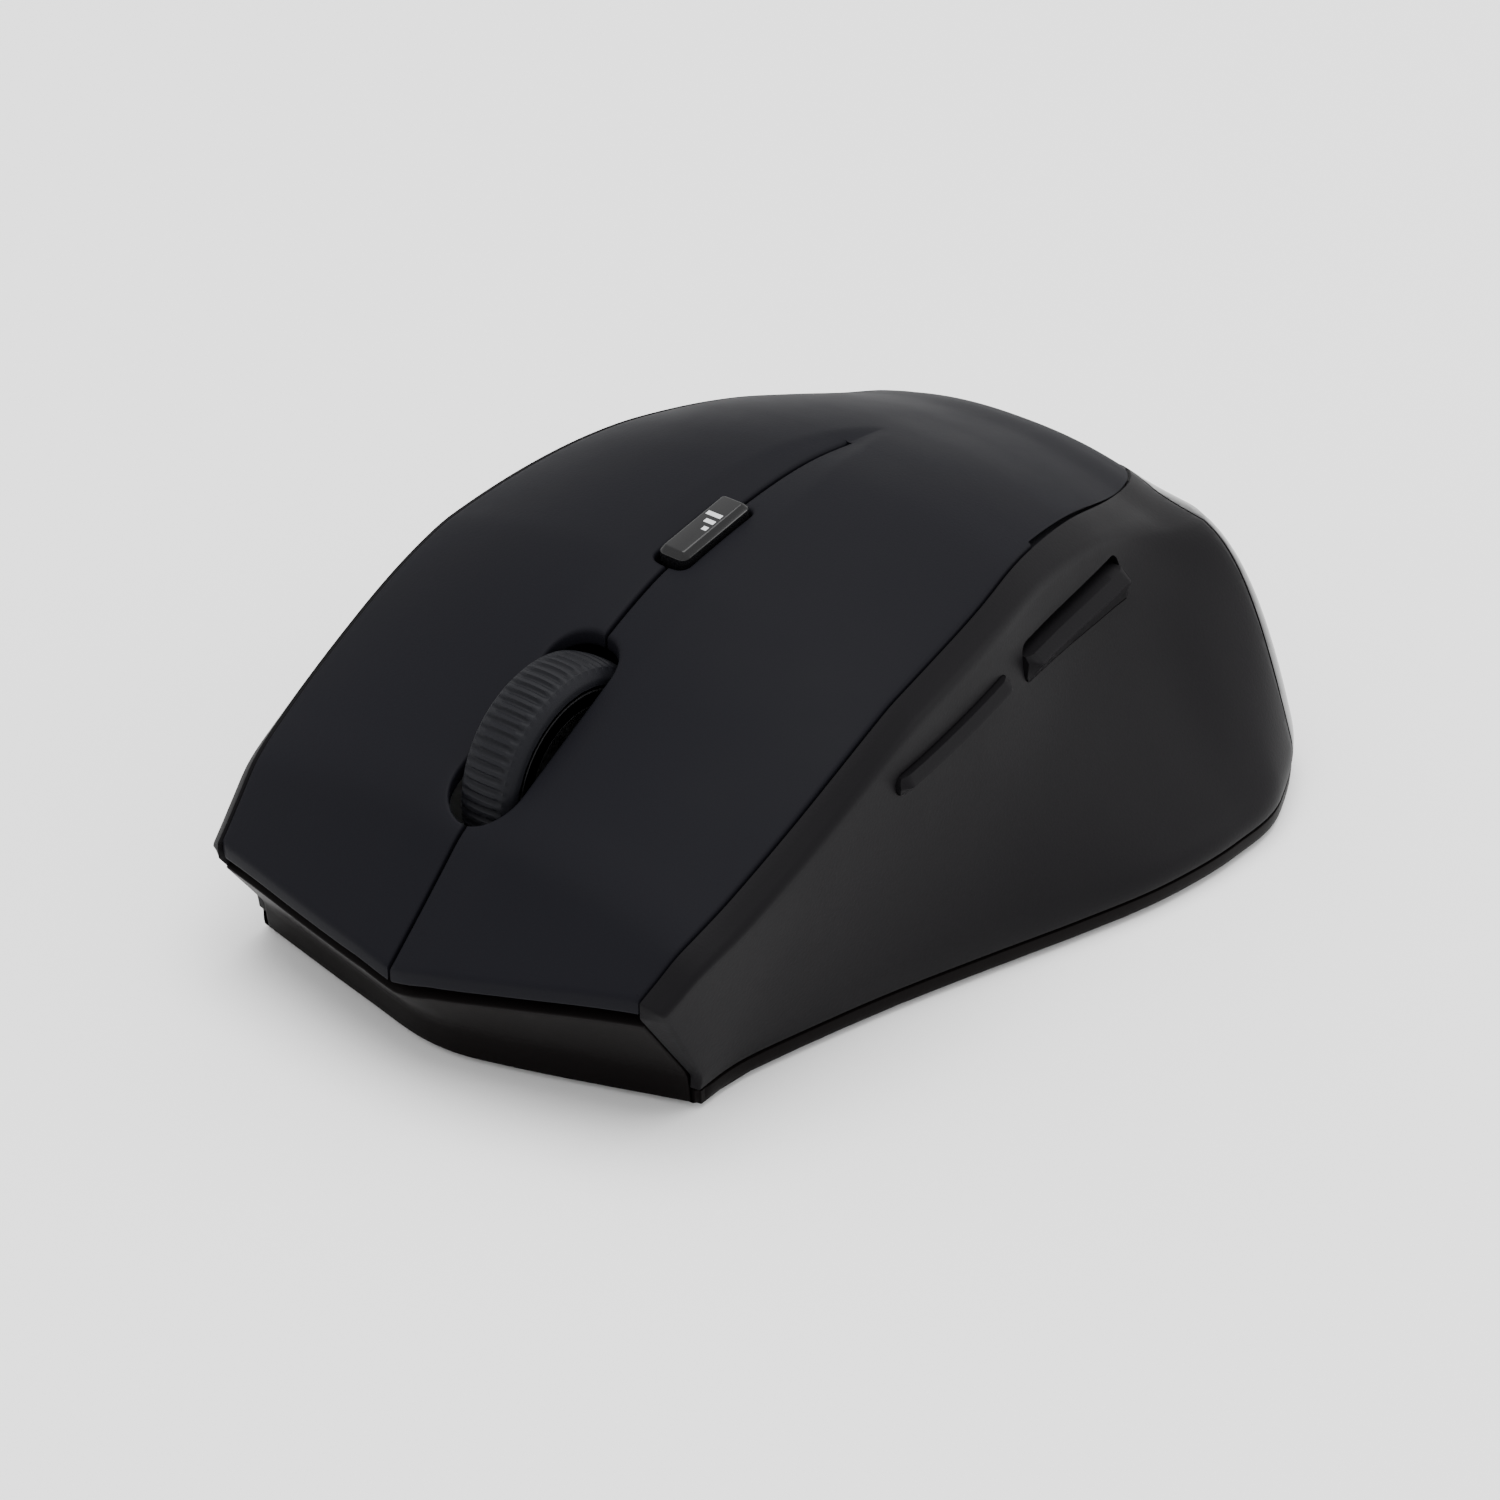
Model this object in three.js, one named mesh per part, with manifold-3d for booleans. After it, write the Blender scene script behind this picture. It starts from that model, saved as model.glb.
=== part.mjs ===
// Right-handed wireless computer mouse with a thumb rest, two main buttons, a scroll wheel,
// a resolution button behind the wheel and two thumb buttons.
// Millimetres. The front points towards -Y, the thumb side is +X, +Z is up, z = 0 is the desk.
import * as THREE from 'three';
import { mergeVertices } from 'three/addons/utils/BufferGeometryUtils.js';
import Module from 'manifold-3d';

const wasm = await Module();
wasm.setup();

// ---- overall sizes ----
const bodyLength = 110;         // tip of the front edge to the tail
const topHalfWidth = 29.9;      // centre seam to the side seam, at the widest
const bodyHeight = 42.5;        // desk to the crown

// ---- shell sizes ----
const wall = 2;                 // moulded walls
const gap = 0.35;               // between neighbouring pieces
const baseBottom = 0.8;         // the floor hangs this far above the desk
const floorThickness = 1.6;
const rimHeight = 2.5;          // top of the base's visible rim
const lipHeight = 4.4;          // where the side panels are widest
const rimInset = 0.5;

// ---- controls ----
const wheelRadius = 12;
const tyreThickness = 1.9;
const wheelWidth = 6.8;
const wheelShow = 3.4;          // the tyre stands this far above the cover's centre line
const wheelRibs = 40;
const wheelOffset = -0.5;       // the wheel stands a little to the side of the seam
const slotClearance = 1.1;      // wheel to the sides of its slot
const shaftRadius = 1.5;
const dpiWidth = 3.9;
const dpiLength = 11;
const dpiRise = 1;              // stands above the cover
const buttonFace = 1.8;         // height of the main buttons' front faces
const frontGap = 1.4;           // main buttons to the nose, the room for their travel
const wheelPressTravel = 0.6;

// ---- insides ----
const boardThickness = 1.2;
const boardHeight = 7;          // underside of the main board
const cellDiameter = 10.5;      // two AAA cells
const cellLength = 44.5;
const bayWall = 1.4;
const screwShank = 1;
const screwHead = 2;
const glideThickness = 1.1;

// ---- looks ----
const soft = { color: 0x29292d, roughness: 0.62, metalness: 0 };
const sideSoft = { color: 0x302e31, roughness: 0.58, metalness: 0 };
const satin = { color: 0x1c1a1b, roughness: 0.45, metalness: 0 };
const gloss = { color: 0x0b0b0d, roughness: 0.12, metalness: 0 };
const rubber = { color: 0x202125, roughness: 0.75, metalness: 0 };
const greyPlastic = { color: 0x6d6f73, roughness: 0.5, metalness: 0 };
const whitePlastic = { color: 0xd9dadb, roughness: 0.45, metalness: 0 };
const boardGreen = { color: 0x14532f, roughness: 0.5, metalness: 0 };
const chip = { color: 0x111214, roughness: 0.4, metalness: 0 };
const clear = { color: 0xdfe6ea, roughness: 0.08, metalness: 0 };
const steel = { color: 0xa9acb0, roughness: 0.3, metalness: 1 };
const brass = { color: 0xb58d4a, roughness: 0.3, metalness: 1 };
const ptfe = { color: 0x3a3c40, roughness: 0.35, metalness: 0 };
const cellSkin = { color: 0x3d5a80, roughness: 0.35, metalness: 0.2 };

const mouse = new THREE.Group();

// ---- solids ----
function solid(geometry) {
  const bare = geometry.index ? geometry.toNonIndexed() : geometry.clone();
  bare.deleteAttribute('normal');
  bare.deleteAttribute('uv');
  const merged = mergeVertices(bare, 1e-4);
  const corners = merged.index.array;
  const kept = [];
  for (let i = 0; i < corners.length; i += 3) {
    const [a, b, c] = [corners[i], corners[i + 1], corners[i + 2]];
    if (a !== b && b !== c && c !== a) kept.push(a, b, c);
  }
  return new wasm.Manifold(new wasm.Mesh({
    numProp: 3,
    vertProperties: merged.attributes.position.array,
    triVerts: new Uint32Array(kept),
  }));
}

function add(name, shape, look) {
  const mesh = shape.getMesh();
  const geometry = new THREE.BufferGeometry();
  geometry.setAttribute('position', new THREE.BufferAttribute(mesh.vertProperties, 3));
  geometry.setIndex(new THREE.BufferAttribute(mesh.triVerts, 1));
  geometry.computeVertexNormals();
  const node = new THREE.Mesh(geometry, new THREE.MeshStandardMaterial(look));
  node.name = name;
  mouse.add(node);
  return node;
}

const joined = (shapes) => shapes.reduce((whole, shape) => whole.add(shape));

// A box between two opposite corners.
function block([x0, y0, z0], [x1, y1, z1]) {
  const geometry = new THREE.BoxGeometry(x1 - x0, y1 - y0, z1 - z0);
  return solid(geometry.translate((x0 + x1) / 2, (y0 + y1) / 2, (z0 + z1) / 2));
}

// An upright cylinder between two heights.
function post(x, y, z0, z1, radius, sides = 14) {
  const geometry = new THREE.CylinderGeometry(radius, radius, z1 - z0, sides).rotateX(Math.PI / 2);
  return solid(geometry.translate(x, y, (z0 + z1) / 2));
}

// A cylinder lying along X.
function axle(x0, x1, y, z, radius, sides = 20) {
  const geometry = new THREE.CylinderGeometry(radius, radius, x1 - x0, sides).rotateZ(Math.PI / 2);
  return solid(geometry.translate((x0 + x1) / 2, y, z));
}

// An outline in plan, raised between two heights. Doubled points are left out.
function upright(points, z0, z1) {
  const apart = ([x, y], i) => {
    const [px, py] = points[(i + points.length - 1) % points.length];
    return Math.hypot(x - px, y - py) > 1e-3;
  };
  const shape = new THREE.Shape(points.filter(apart).map(([x, y]) => new THREE.Vector2(x, y)));
  const geometry = new THREE.ExtrudeGeometry(shape, { depth: z1 - z0, bevelEnabled: false });
  return solid(geometry.translate(0, 0, z0));
}

// An outline of [y, z] points, carried along X between two places.
function sideways(points, x0, x1) {
  const shape = new THREE.Shape(points.map(([y, z]) => new THREE.Vector2(y, z)));
  const geometry = new THREE.ExtrudeGeometry(shape, { depth: x1 - x0, bevelEnabled: false });
  const turn = new THREE.Matrix4().makeBasis(
    new THREE.Vector3(0, 1, 0), new THREE.Vector3(0, 0, 1), new THREE.Vector3(1, 0, 0));
  return solid(geometry.applyMatrix4(turn).translate(x0, 0, 0));
}

// An outline of [x, z] points, carried along Y between two places.
function lengthways(points, y0, y1) {
  const shape = new THREE.Shape(points.map(([x, z]) => new THREE.Vector2(x, -z)));
  const geometry = new THREE.ExtrudeGeometry(shape, { depth: y1 - y0, bevelEnabled: false });
  return solid(geometry.rotateX(-Math.PI / 2).translate(0, y0, 0));
}

// A slot outline: a rounded bar of half-length a and half-width b about (u, v), turned by an angle.
function bar(u, v, a, b, angle = 0, corner = b, steps = 6) {
  const points = [];
  for (let quarter = 0; quarter < 4; quarter++) {
    const signU = quarter === 0 || quarter === 3 ? 1 : -1;
    const signV = quarter < 2 ? 1 : -1;
    for (let i = 0; i <= steps; i++) {
      const turn = (quarter + i / steps) * Math.PI / 2;
      const pu = signU * (a - corner) + corner * Math.cos(turn);
      const pv = signV * (b - corner) + corner * Math.sin(turn);
      points.push([
        u + pu * Math.cos(angle) - pv * Math.sin(angle),
        v + pu * Math.sin(angle) + pv * Math.cos(angle),
      ]);
    }
  }
  return points;
}

// ---- the body's outer form ----
// Outlines in plan: x in shares of the top's half-width, y in shares of the body's length.
const frontEdge = [
  [-0.9, -0.434], [-0.468, -0.4555], [-0.114, -0.4675], [0.114, -0.4665], [0.485, -0.443], [0.9, -0.409],
];
const seamSide = [
  [0.9, -0.409], [0.957, -0.345], [0.99, -0.255], [1, -0.145], [0.977, -0.036], [0.923, 0.073],
  [0.825, 0.182], [0.73, 0.291], [0.645, 0.39], [0.53, 0.472], [0.33, 0.51], [0, 0.522],
];
const footFront = [[-0.91, -0.3765], [-0.351, -0.4055], [0.017, -0.42], [0.328, -0.4], [0.9, -0.3405]];
const footThumb = [
  [0.95, -0.338], [0.95, -0.282], [1.01, -0.2045], [1.104, -0.1045], [1.224, 0], [1.344, 0.1],
  [1.445, 0.2], [1.488, 0.3045], [1.448, 0.4], [1.17, 0.514], [0.603, 0.538], [0, 0.5365],
];
const footOuter = [
  [-0.97, -0.3725], [-0.957, -0.3], [-0.977, -0.218], [-1.01, -0.118], [-1.037, -0.009], [-1.057, 0.091],
  [-1.07, 0.191], [-1.064, 0.291], [-1.003, 0.391], [-0.836, 0.473], [-0.435, 0.5255], [0, 0.5365],
];
const cornerStagger = 0.025;    // the outer front corner stands this much further forward
const staggerEnd = 0.15;        // and the difference is gone this far along the seam

// Height of the centre line, and how far the top falls at the side seam, in shares of the height,
// against y in shares of the length.
const crownLine = [
  [-0.4675, 0.32], [-0.423, 0.426], [-0.3945, 0.496], [-0.3655, 0.565], [-0.309, 0.649], [-0.236, 0.751],
  [-0.1645, 0.849], [-0.113, 0.908], [-0.073, 0.941], [0.041, 0.988], [0.127, 1], [0.2, 0.979],
  [0.273, 0.935], [0.345, 0.872], [0.409, 0.811], [0.464, 0.762], [0.5, 0.705], [0.522, 0.61],
];
const sideFall = [
  [-0.4675, 0.065], [-0.364, 0.082], [-0.2545, 0.093], [-0.1455, 0.111], [0, 0.13], [0.127, 0.156],
  [0.2, 0.172], [0.291, 0.187], [0.391, 0.205], [0.522, 0.23],
];
// Half-width of the shallow channel along the centre seam, in shares of the top's half-width.
const channelLine = [
  [-0.464, 0.154], [-0.364, 0.187], [-0.136, 0.2], [0, 0.187], [0.11, 0.14], [0.2, 0.08], [0.255, 0.02],
];
const channelDepth = 0.6;
const channelEnd = 0.255;       // the channel runs out here, in shares of the length
const channelFade = 0.06;
// How the flanks hollow: 1 is straight, more is hollow, less is full.
const thumbHollow = [[0, 1], [0.25, 1.3], [0.45, 2], [0.62, 1.5], [0.78, 0.42], [0.88, 0.45], [1, 0.42]];
const outerHollow = [[0, 0.95], [0.5, 0.8], [0.8, 0.5], [1, 0.5]];
// From the side seam to the shoulder, outwards and down, in millimetres from front to tail.
const thumbReach = [[0, 2.7], [0.45, 2.7], [0.75, 4.2], [0.9, 2.8], [1, 1.2]];
const outerReach = [[0, 1.5], [0.6, 1.5], [1, 1.2]];
const shoulderFall = [[0, 0.9], [0.15, 1.9], [0.7, 2.1], [1, 3]];

const sideBend = 2.3;           // how late the top falls away towards the side seam
const narrowest = 0.02;         // of the channel's half-width

const frontSteps = 12;
const sideSteps = 18;
const topShares = [0, 0.19, 0.45, 0.75, 1];
const flankShares = [0.1, 0.24, 0.4, 0.56, 0.72, 0.87, 1];
const spineEnd = 0.4;           // the top's rings close on a line that ends here, fore and aft

// A smooth curve through [x, y] points, read at x.
function curveAt(points, x) {
  const last = points.length - 1;
  let i = 0;
  while (i < last - 1 && x > points[i + 1][0]) i++;
  const slope = (j) => {
    const [before, after] = [points[Math.max(j - 1, 0)], points[Math.min(j + 1, last)]];
    return (after[1] - before[1]) / (after[0] - before[0]);
  };
  const [x0, y0] = points[i];
  const [x1, y1] = points[i + 1];
  if (x < x0) return y0 + slope(0) * (x - x0);
  if (x > x1) return y1 + slope(last) * (x - x1);
  const span = x1 - x0;
  const t = (x - x0) / span;
  return y0 * (1 + 2 * t) * (1 - t) ** 2 + y1 * t * t * (3 - 2 * t)
    + slope(i) * span * t * (1 - t) ** 2 - slope(i + 1) * span * t * t * (1 - t);
}

// A point on a plan outline, in millimetres; s runs from 0 to 1.
function alongOutline(points, s) {
  const curve = new THREE.SplineCurve(points.map(([x, y]) => new THREE.Vector2(x, y)));
  const point = curve.getPoint(Math.min(Math.max(s, 0), 1));
  return [point.x * topHalfWidth, point.y * bodyLength];
}

function topHeight(x, y) {
  const along = y / bodyLength;
  const across = Math.abs(x) / topHalfWidth;
  const channel = Math.max(0, 1 - across / Math.max(curveAt(channelLine, along), narrowest));
  const fade = Math.min(1, Math.max(0, (channelEnd - along) / channelFade));
  return bodyHeight * (curveAt(crownLine, along) - curveAt(sideFall, along) * across ** sideBend)
    - channelDepth * channel * fade;
}

// The stations round the body, anticlockwise from above, starting at the outer front corner.
function makeStations() {
  const stations = [];
  for (let i = 0; i <= frontSteps; i++) {
    const s = i / frontSteps;
    stations.push({
      seam: alongOutline(frontEdge, s), foot: alongOutline(footFront, s),
      spine: [0, -spineEnd * bodyLength], reach: 0, fall: buttonFace, hollow: 1,
    });
  }
  const flank = (s, side) => {
    const [x, y] = alongOutline(seamSide, s);
    const stagger = side < 0 ? cornerStagger * bodyLength * Math.max(0, 1 - s / staggerEnd) ** 2 : 0;
    const spineY = Math.min(Math.max(y, -spineEnd * bodyLength), spineEnd * bodyLength);
    return {
      seam: [side * x, y - stagger], foot: alongOutline(side > 0 ? footThumb : footOuter, s),
      spine: [0, spineY], fall: curveAt(shoulderFall, s),
      reach: curveAt(side > 0 ? thumbReach : outerReach, s),
      hollow: curveAt(side > 0 ? thumbHollow : outerHollow, s),
    };
  };
  for (let i = 0; i <= sideSteps; i++) stations.push(flank(i / sideSteps, 1));
  for (let i = sideSteps - 1; i >= 0; i--) stations.push(flank(i / sideSteps, -1));
  return stations;
}
const stations = makeStations();
const seamLoop = stations.map((station) => station.seam);

// The outward direction in plan at each point of a loop; doubled points are stepped over.
function outwards(loop) {
  const count = loop.length;
  const differs = (a, b) => Math.hypot(a[0] - b[0], a[1] - b[1]) > 1e-6;
  return loop.map((point, i) => {
    let before = i;
    let after = i;
    do before = (before + count - 1) % count; while (!differs(loop[before], point));
    do after = (after + 1) % count; while (!differs(loop[after], point));
    const unit = ([x, y]) => [x / Math.hypot(x, y), y / Math.hypot(x, y)];
    const [ax, ay] = unit([point[0] - loop[before][0], point[1] - loop[before][1]]);
    const [bx, by] = unit([loop[after][0] - point[0], loop[after][1] - point[1]]);
    const [nx, ny] = unit([ay + by, -ax - bx]);
    const mitre = Math.max(0.5, nx * ay - ny * ax);
    return [nx / mitre, ny / mitre];
  });
}

function offsetLoop(loop, distance) {
  const normals = outwards(loop);
  return loop.map(([x, y], i) => [x + normals[i][0] * distance, y + normals[i][1] * distance]);
}

// At the two front corners the shoulder leaves the seam sideways and a little to the rear.
const cornerY = -0.39 * bodyLength;
const cornerTurn = 0.243;
const shoulderLoop = (() => {
  const normals = outwards(seamLoop);
  return stations.map(({ seam, reach }, i) => {
    const corner = reach > 0 && Math.abs(seam[0]) > 0.85 * topHalfWidth && seam[1] < cornerY;
    const [nx, ny] = corner ? [Math.sign(seam[0]) * Math.cos(cornerTurn), Math.sin(cornerTurn)] : normals[i];
    return [seam[0] + nx * reach, seam[1] + ny * reach];
  });
})();
const footLoop = stations.map((station) => station.foot);

// The whole body as one closed form, drawn in by an inset on every side.
function bodyForm(inset, floorZ) {
  const seam = offsetLoop(seamLoop, -inset);
  const rings = [];
  for (const share of topShares) {
    rings.push(stations.map(({ spine }, i) => {
      const x = share * seam[i][0];
      const y = spine[1] + share * (seam[i][1] - spine[1]);
      return [x, y, topHeight(x, y) - inset];
    }));
  }
  const shoulder = offsetLoop(shoulderLoop, -inset);
  const shoulderZ = stations.map(({ seam: [x, y], fall }) => topHeight(x, y) - fall - inset);
  rings.push(shoulder.map(([x, y], i) => [x, y, shoulderZ[i]]));
  for (const share of flankShares) {
    const plan = stations.map(({ hollow }, i) => {
      const reach = share ** hollow;
      return [0, 1].map((axis) => shoulderLoop[i][axis] * (1 - reach) + footLoop[i][axis] * reach);
    });
    rings.push(offsetLoop(plan, -inset).map(([x, y], i) => (
      [x, y, shoulderZ[i] + (Math.max(lipHeight, floorZ + 1) - shoulderZ[i]) * share])));
  }
  rings.push(offsetLoop(footLoop, -inset - rimInset).map(([x, y]) => [x, y, floorZ]));
  return ringsToSolid(rings);
}

// Closed rings, one after the other, with the last one capped unless it closes on itself.
function ringsToSolid(rings, capped = true) {
  const points = [];
  const triangle = (a, b, c) => points.push(...a, ...b, ...c);
  for (let r = 0; r + 1 < rings.length; r++) {
    const [upper, lower] = [rings[r], rings[r + 1]];
    for (let i = 0; i < upper.length; i++) {
      const j = (i + 1) % upper.length;
      triangle(upper[i], lower[i], lower[j]);
      triangle(upper[i], lower[j], upper[j]);
    }
  }
  const last = rings[rings.length - 1];
  const hub = [0, 0, last[0][2]];
  for (let i = 0; capped && i < last.length; i++) triangle(last[(i + 1) % last.length], last[i], hub);
  const geometry = new THREE.BufferGeometry();
  geometry.setAttribute('position', new THREE.Float32BufferAttribute(points, 3));
  return solid(geometry);
}

// The layer that follows the top, from above it down to a depth, and past the side seams.
function lid(depth) {
  const reach = offsetLoop(seamLoop, 2 * wall);
  const ring = (share, lift) => stations.map(({ spine }, i) => {
    const x = share * reach[i][0];
    const y = spine[1] + share * (reach[i][1] - spine[1]);
    return [x, y, topHeight(x, y) + lift];
  });
  return ringsToSolid([
    ...topShares.map((share) => ring(share, wall)),
    ...[...topShares].reverse().map((share) => ring(share, -depth)),
  ], false);
}

const far = 2 * bodyLength;
const floorTop = baseBottom + floorThickness;
const outerForm = bodyForm(0, baseBottom);
const innerForm = bodyForm(wall, floorTop);
const shell = outerForm.subtract(innerForm);
const coverDepth = 2 * wall;

// ---- covers ----
const cornerX = 0.9 * topHalfWidth;        // the front edge runs between two corners
const lipReach = 1.1 * topHalfWidth;
const lipSteps = 16;
const lipLine = [];
for (let i = 0; i <= lipSteps; i++) {
  const x = (2 * i / lipSteps - 1) * lipReach;
  const s = (x / lipReach * topHalfWidth + cornerX) / (2 * cornerX);
  lipLine.push([x, topHeight(...alongOutline(frontEdge, s)) - buttonFace]);
}
const belowLip = (drop) => lengthways(
  [[-lipReach, -wall], [lipReach, -wall], ...lipLine.map(([x, z]) => [x, z - drop]).reverse()],
  -far, far);

const flexY = 0.2 * bodyLength;            // the main buttons bend here
const wheelY = -0.2275 * bodyLength;
const wheelZ = topHeight(0, wheelY) - wheelRadius + wheelShow;
const cheekThickness = 1.6;
const cradleHalfLength = wheelRadius + 1.4;
const cradleReach = cradleHalfLength + cheekThickness;
const slotHalfWidth = wheelWidth / 2 + slotClearance;
const slotFrontY = -0.3655 * bodyLength;
const slotRearY = -0.166 * bodyLength;
const slotCorner = slotHalfWidth - 0.1;
const slotOutline = bar(
  wheelOffset, (slotFrontY + slotRearY) / 2, slotHalfWidth, (slotRearY - slotFrontY) / 2, 0, slotCorner);
const dpiY = -0.0205 * bodyLength;
const dpiCorner = 1.2;
const dpiHole = bar(0, dpiY, dpiWidth / 2 + gap, dpiLength / 2 + gap, 0, dpiCorner, 3);

const cap = shell
  .intersect(upright(offsetLoop(seamLoop, -gap / 2), -1, far))
  .intersect(lid(coverDepth))
  .subtract(belowLip(0));
const wheelSide = wheelWidth / 2 + 2 * gap;
const wheelRoom = axle(
  wheelOffset - wheelSide, wheelOffset + wheelSide, wheelY, wheelZ, wheelRadius + 2 * gap, 2 * wheelRibs);
const frontCover = cap
  .intersect(block([-far, -far, -1], [far, flexY - gap, far]))
  .subtract(upright(slotOutline, 0, far))
  .subtract(wheelRoom)
  .subtract(upright(dpiHole, 0, far));

const switchX = 0.65 * topHalfWidth;
const switchY = -0.272 * bodyLength;
const switchSize = [6, 12.6, 6.4];
const boardTop = boardHeight + boardThickness;
const plungerRise = 0.7;
const plungerY = switchY - 2;
const plungerSize = [1.8, 2.4];
const stemHalf = 1.5;

function mainButton(side) {
  const half = side > 0
    ? block([gap / 2, -far, -1], [far, far, far])
    : block([-far, -far, -1], [-gap / 2, far, far]);
  const stemTop = topHeight(switchX, plungerY) - 1;
  const stemFoot = boardTop + gap + switchSize[2] + plungerRise + gap;
  const stem = block(
    [side * switchX - stemHalf, plungerY - stemHalf, stemFoot],
    [side * switchX + stemHalf, plungerY + stemHalf, stemTop]);
  return frontCover.intersect(half).add(stem);
}
add('left_button', mainButton(1), soft);
add('right_button', mainButton(-1), soft);

// ---- rear cover, side panels and tail trim ----
const cellSpace = 0.8;                     // each cell to the bay's walls
const bayHalfWidth = cellDiameter + cellSpace + bayWall;
const rearScrews = [[0.8 * topHalfWidth, 0.36 * bodyLength], [-0.72 * topHalfWidth, 0.36 * bodyLength]];
const frontScrews = [[0.8 * topHalfWidth, -0.085 * bodyLength], [-0.8 * topHalfWidth, -0.085 * bodyLength]];
const bossRadius = 3;
const bossTop = 8;
const footHeight = 7;           // of a cover's post above its boss
const screwLength = 9;
const screwHole = (x, y) => post(x, y, baseBottom - 1, bossTop + screwLength, screwShank + gap);

const coverPost = ([x, y]) => {
  const inner = (bayHalfWidth + 2 * gap + stemHalf) * Math.sign(x);
  const upper = topHeight(inner, y) - wall / 2;
  const [low, high] = [bossTop + footHeight - wall, bossTop + footHeight];
  return joined([
    post(x, y, bossTop + gap, high, bossRadius),
    block(
      [Math.min(x, inner) - stemHalf, y - stemHalf, low],
      [Math.max(x, inner) + stemHalf, y + stemHalf, high]),
    block([inner - stemHalf, y - stemHalf, low], [inner + stemHalf, y + stemHalf, upper]),
  ]).subtract(screwHole(x, y));
};
const palm = cap.intersect(block([-far, flexY, -1], [far, far, far]));
add('palm_cover', joined([palm, ...rearScrews.map(coverPost)]), soft);

const noseRearY = -0.33 * bodyLength;
const noseZone = (grow) => block([-cornerX - grow, -far, -1], [cornerX + grow, noseRearY, far]);
const aroundTop = shell
  .subtract(upright(offsetLoop(seamLoop, gap / 2), -1, far).intersect(lid(coverDepth + frontGap)))
  .subtract(noseZone(gap / 2))
  .subtract(block([-far, -far, -1], [far, far, rimHeight + gap]));
const trimThumbX = 1.2 * topHalfWidth;
const trimOuterX = -0.84 * topHalfWidth;
const trimFrontY = 0.45 * bodyLength;
const trimSlant = 0.42;         // its two ends lean outwards to the rear
const trimOutline = (grow) => [
  [trimThumbX + grow, trimFrontY - grow], [trimThumbX + grow + far * trimSlant, far],
  [trimOuterX - grow - far * trimSlant, far], [trimOuterX - grow, trimFrontY - grow],
];
add('rear_trim', aroundTop.intersect(upright(trimOutline(0), -1, far)), gloss);

// Thumb buttons: each fills a slot in the thumb-side panel and stands proud of it.
const thumbButtons = {
  forward_button: {
    y: -0.012, z: 0.6635, halfLength: 10.6, halfHeight: 1.5, tilt: 0.09, proud: 0.9, root: 1,
  },
  back_button: {
    y: 0.219, z: 0.68, halfLength: 11.2, halfHeight: 2.3, tilt: -0.015, proud: 2, root: 0.88,
  },
};
const panelInsideX = 0.6 * topHalfWidth;
const thumbSlot = ({ y, z, halfLength, halfHeight, tilt }, grow) => sideways(
  bar(y * bodyLength, z * bodyHeight, halfLength + grow, halfHeight + grow, tilt, halfHeight + grow - 0.05),
  panelInsideX, far);

function sidePanel(side) {
  const half = side > 0 ? block([0, -far, -1], [far, far, far]) : block([-far, -far, -1], [0, far, far]);
  let panel = aroundTop.intersect(half).subtract(upright(trimOutline(gap), -1, far));
  if (side > 0) {
    for (const button of Object.values(thumbButtons)) panel = panel.subtract(thumbSlot(button, gap));
  }
  return panel;
}
add('left_side_panel', sidePanel(1), sideSoft);
add('right_side_panel', sidePanel(-1), sideSoft);

const sideBoardX = 0.68 * topHalfWidth;
const thumbSwitchDepth = 2.4;
const thumbTravel = 0.6;
const thumbStemHalf = 1;
const thumbStemX = sideBoardX + boardThickness + thumbSwitchDepth + thumbTravel + gap;
for (const [name, button] of Object.entries(thumbButtons)) {
  const face = bodyForm(-button.proud, baseBottom).subtract(bodyForm(wall + gap, floorTop));
  const [y, z] = [button.y * bodyLength, button.z * bodyHeight];
  const thumbHalf = block([panelInsideX, -far, 0], [far, far, far]);
  const body = face.intersect(thumbSlot(button, 0)).intersect(thumbHalf);
  const stem = block(
    [thumbStemX, y - thumbStemHalf, z - thumbStemHalf],
    [button.root * topHalfWidth, y + thumbStemHalf, z + thumbStemHalf]);
  add(name, body.add(stem), sideSoft);
}

// ---- base: floor, rim, nose, battery bay, standoffs and bosses in one moulding ----
const sensorSize = [9.8, 7.6, 2.4];
const lensX = 0;
const lensY = wheelY + cradleReach + gap + sensorSize[1] / 2;
const lensRadius = 4;
const lensFlange = 4.9;
const contactRoom = 5;                     // both ends of the cells together
const bayFrontY = lensY + lensFlange + bayWall + 2 * gap;
const bayRearY = bayFrontY + cellLength + contactRoom;
const doorThickness = 1.2;
const cellZ = baseBottom + doorThickness + 1 + cellDiameter / 2;
const bayTop = cellZ + cellDiameter / 2 + cellSpace + bayWall;
const sliderY = -0.2 * bodyLength;
const sliderX = 0.42 * topHalfWidth;
const sliderTravel = 3;
const sliderHalf = [1.5, 2];
const headRecess = 1.8;
const standoffRadius = 2.2;
const boardFrontY = -0.335 * bodyLength;
const boardRearY = bayFrontY - bayWall - 1;
const boardScrewX = 0.42 * topHalfWidth;
const boardScrews = [[-boardScrewX, boardFrontY + 2.8], [boardScrewX, boardFrontY + 2.8]];
const standoffs = [...boardScrews, [-boardScrewX, boardRearY - 3], [boardScrewX, boardRearY - 3]];
const glideRecess = glideThickness - baseBottom + gap;
const glideHalf = 2.4;
const glideOutlines = {
  front_glide: bar(-0.02 * topHalfWidth, -0.34 * bodyLength, 0.5 * topHalfWidth, 3.2),
  rear_glide: bar(0.06 * topHalfWidth, bayRearY + glideHalf + 0.9, 0.55 * topHalfWidth, glideHalf),
};

const bayInside = bayHalfWidth - bayWall;
const boardScrewFoot = 3;

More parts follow.
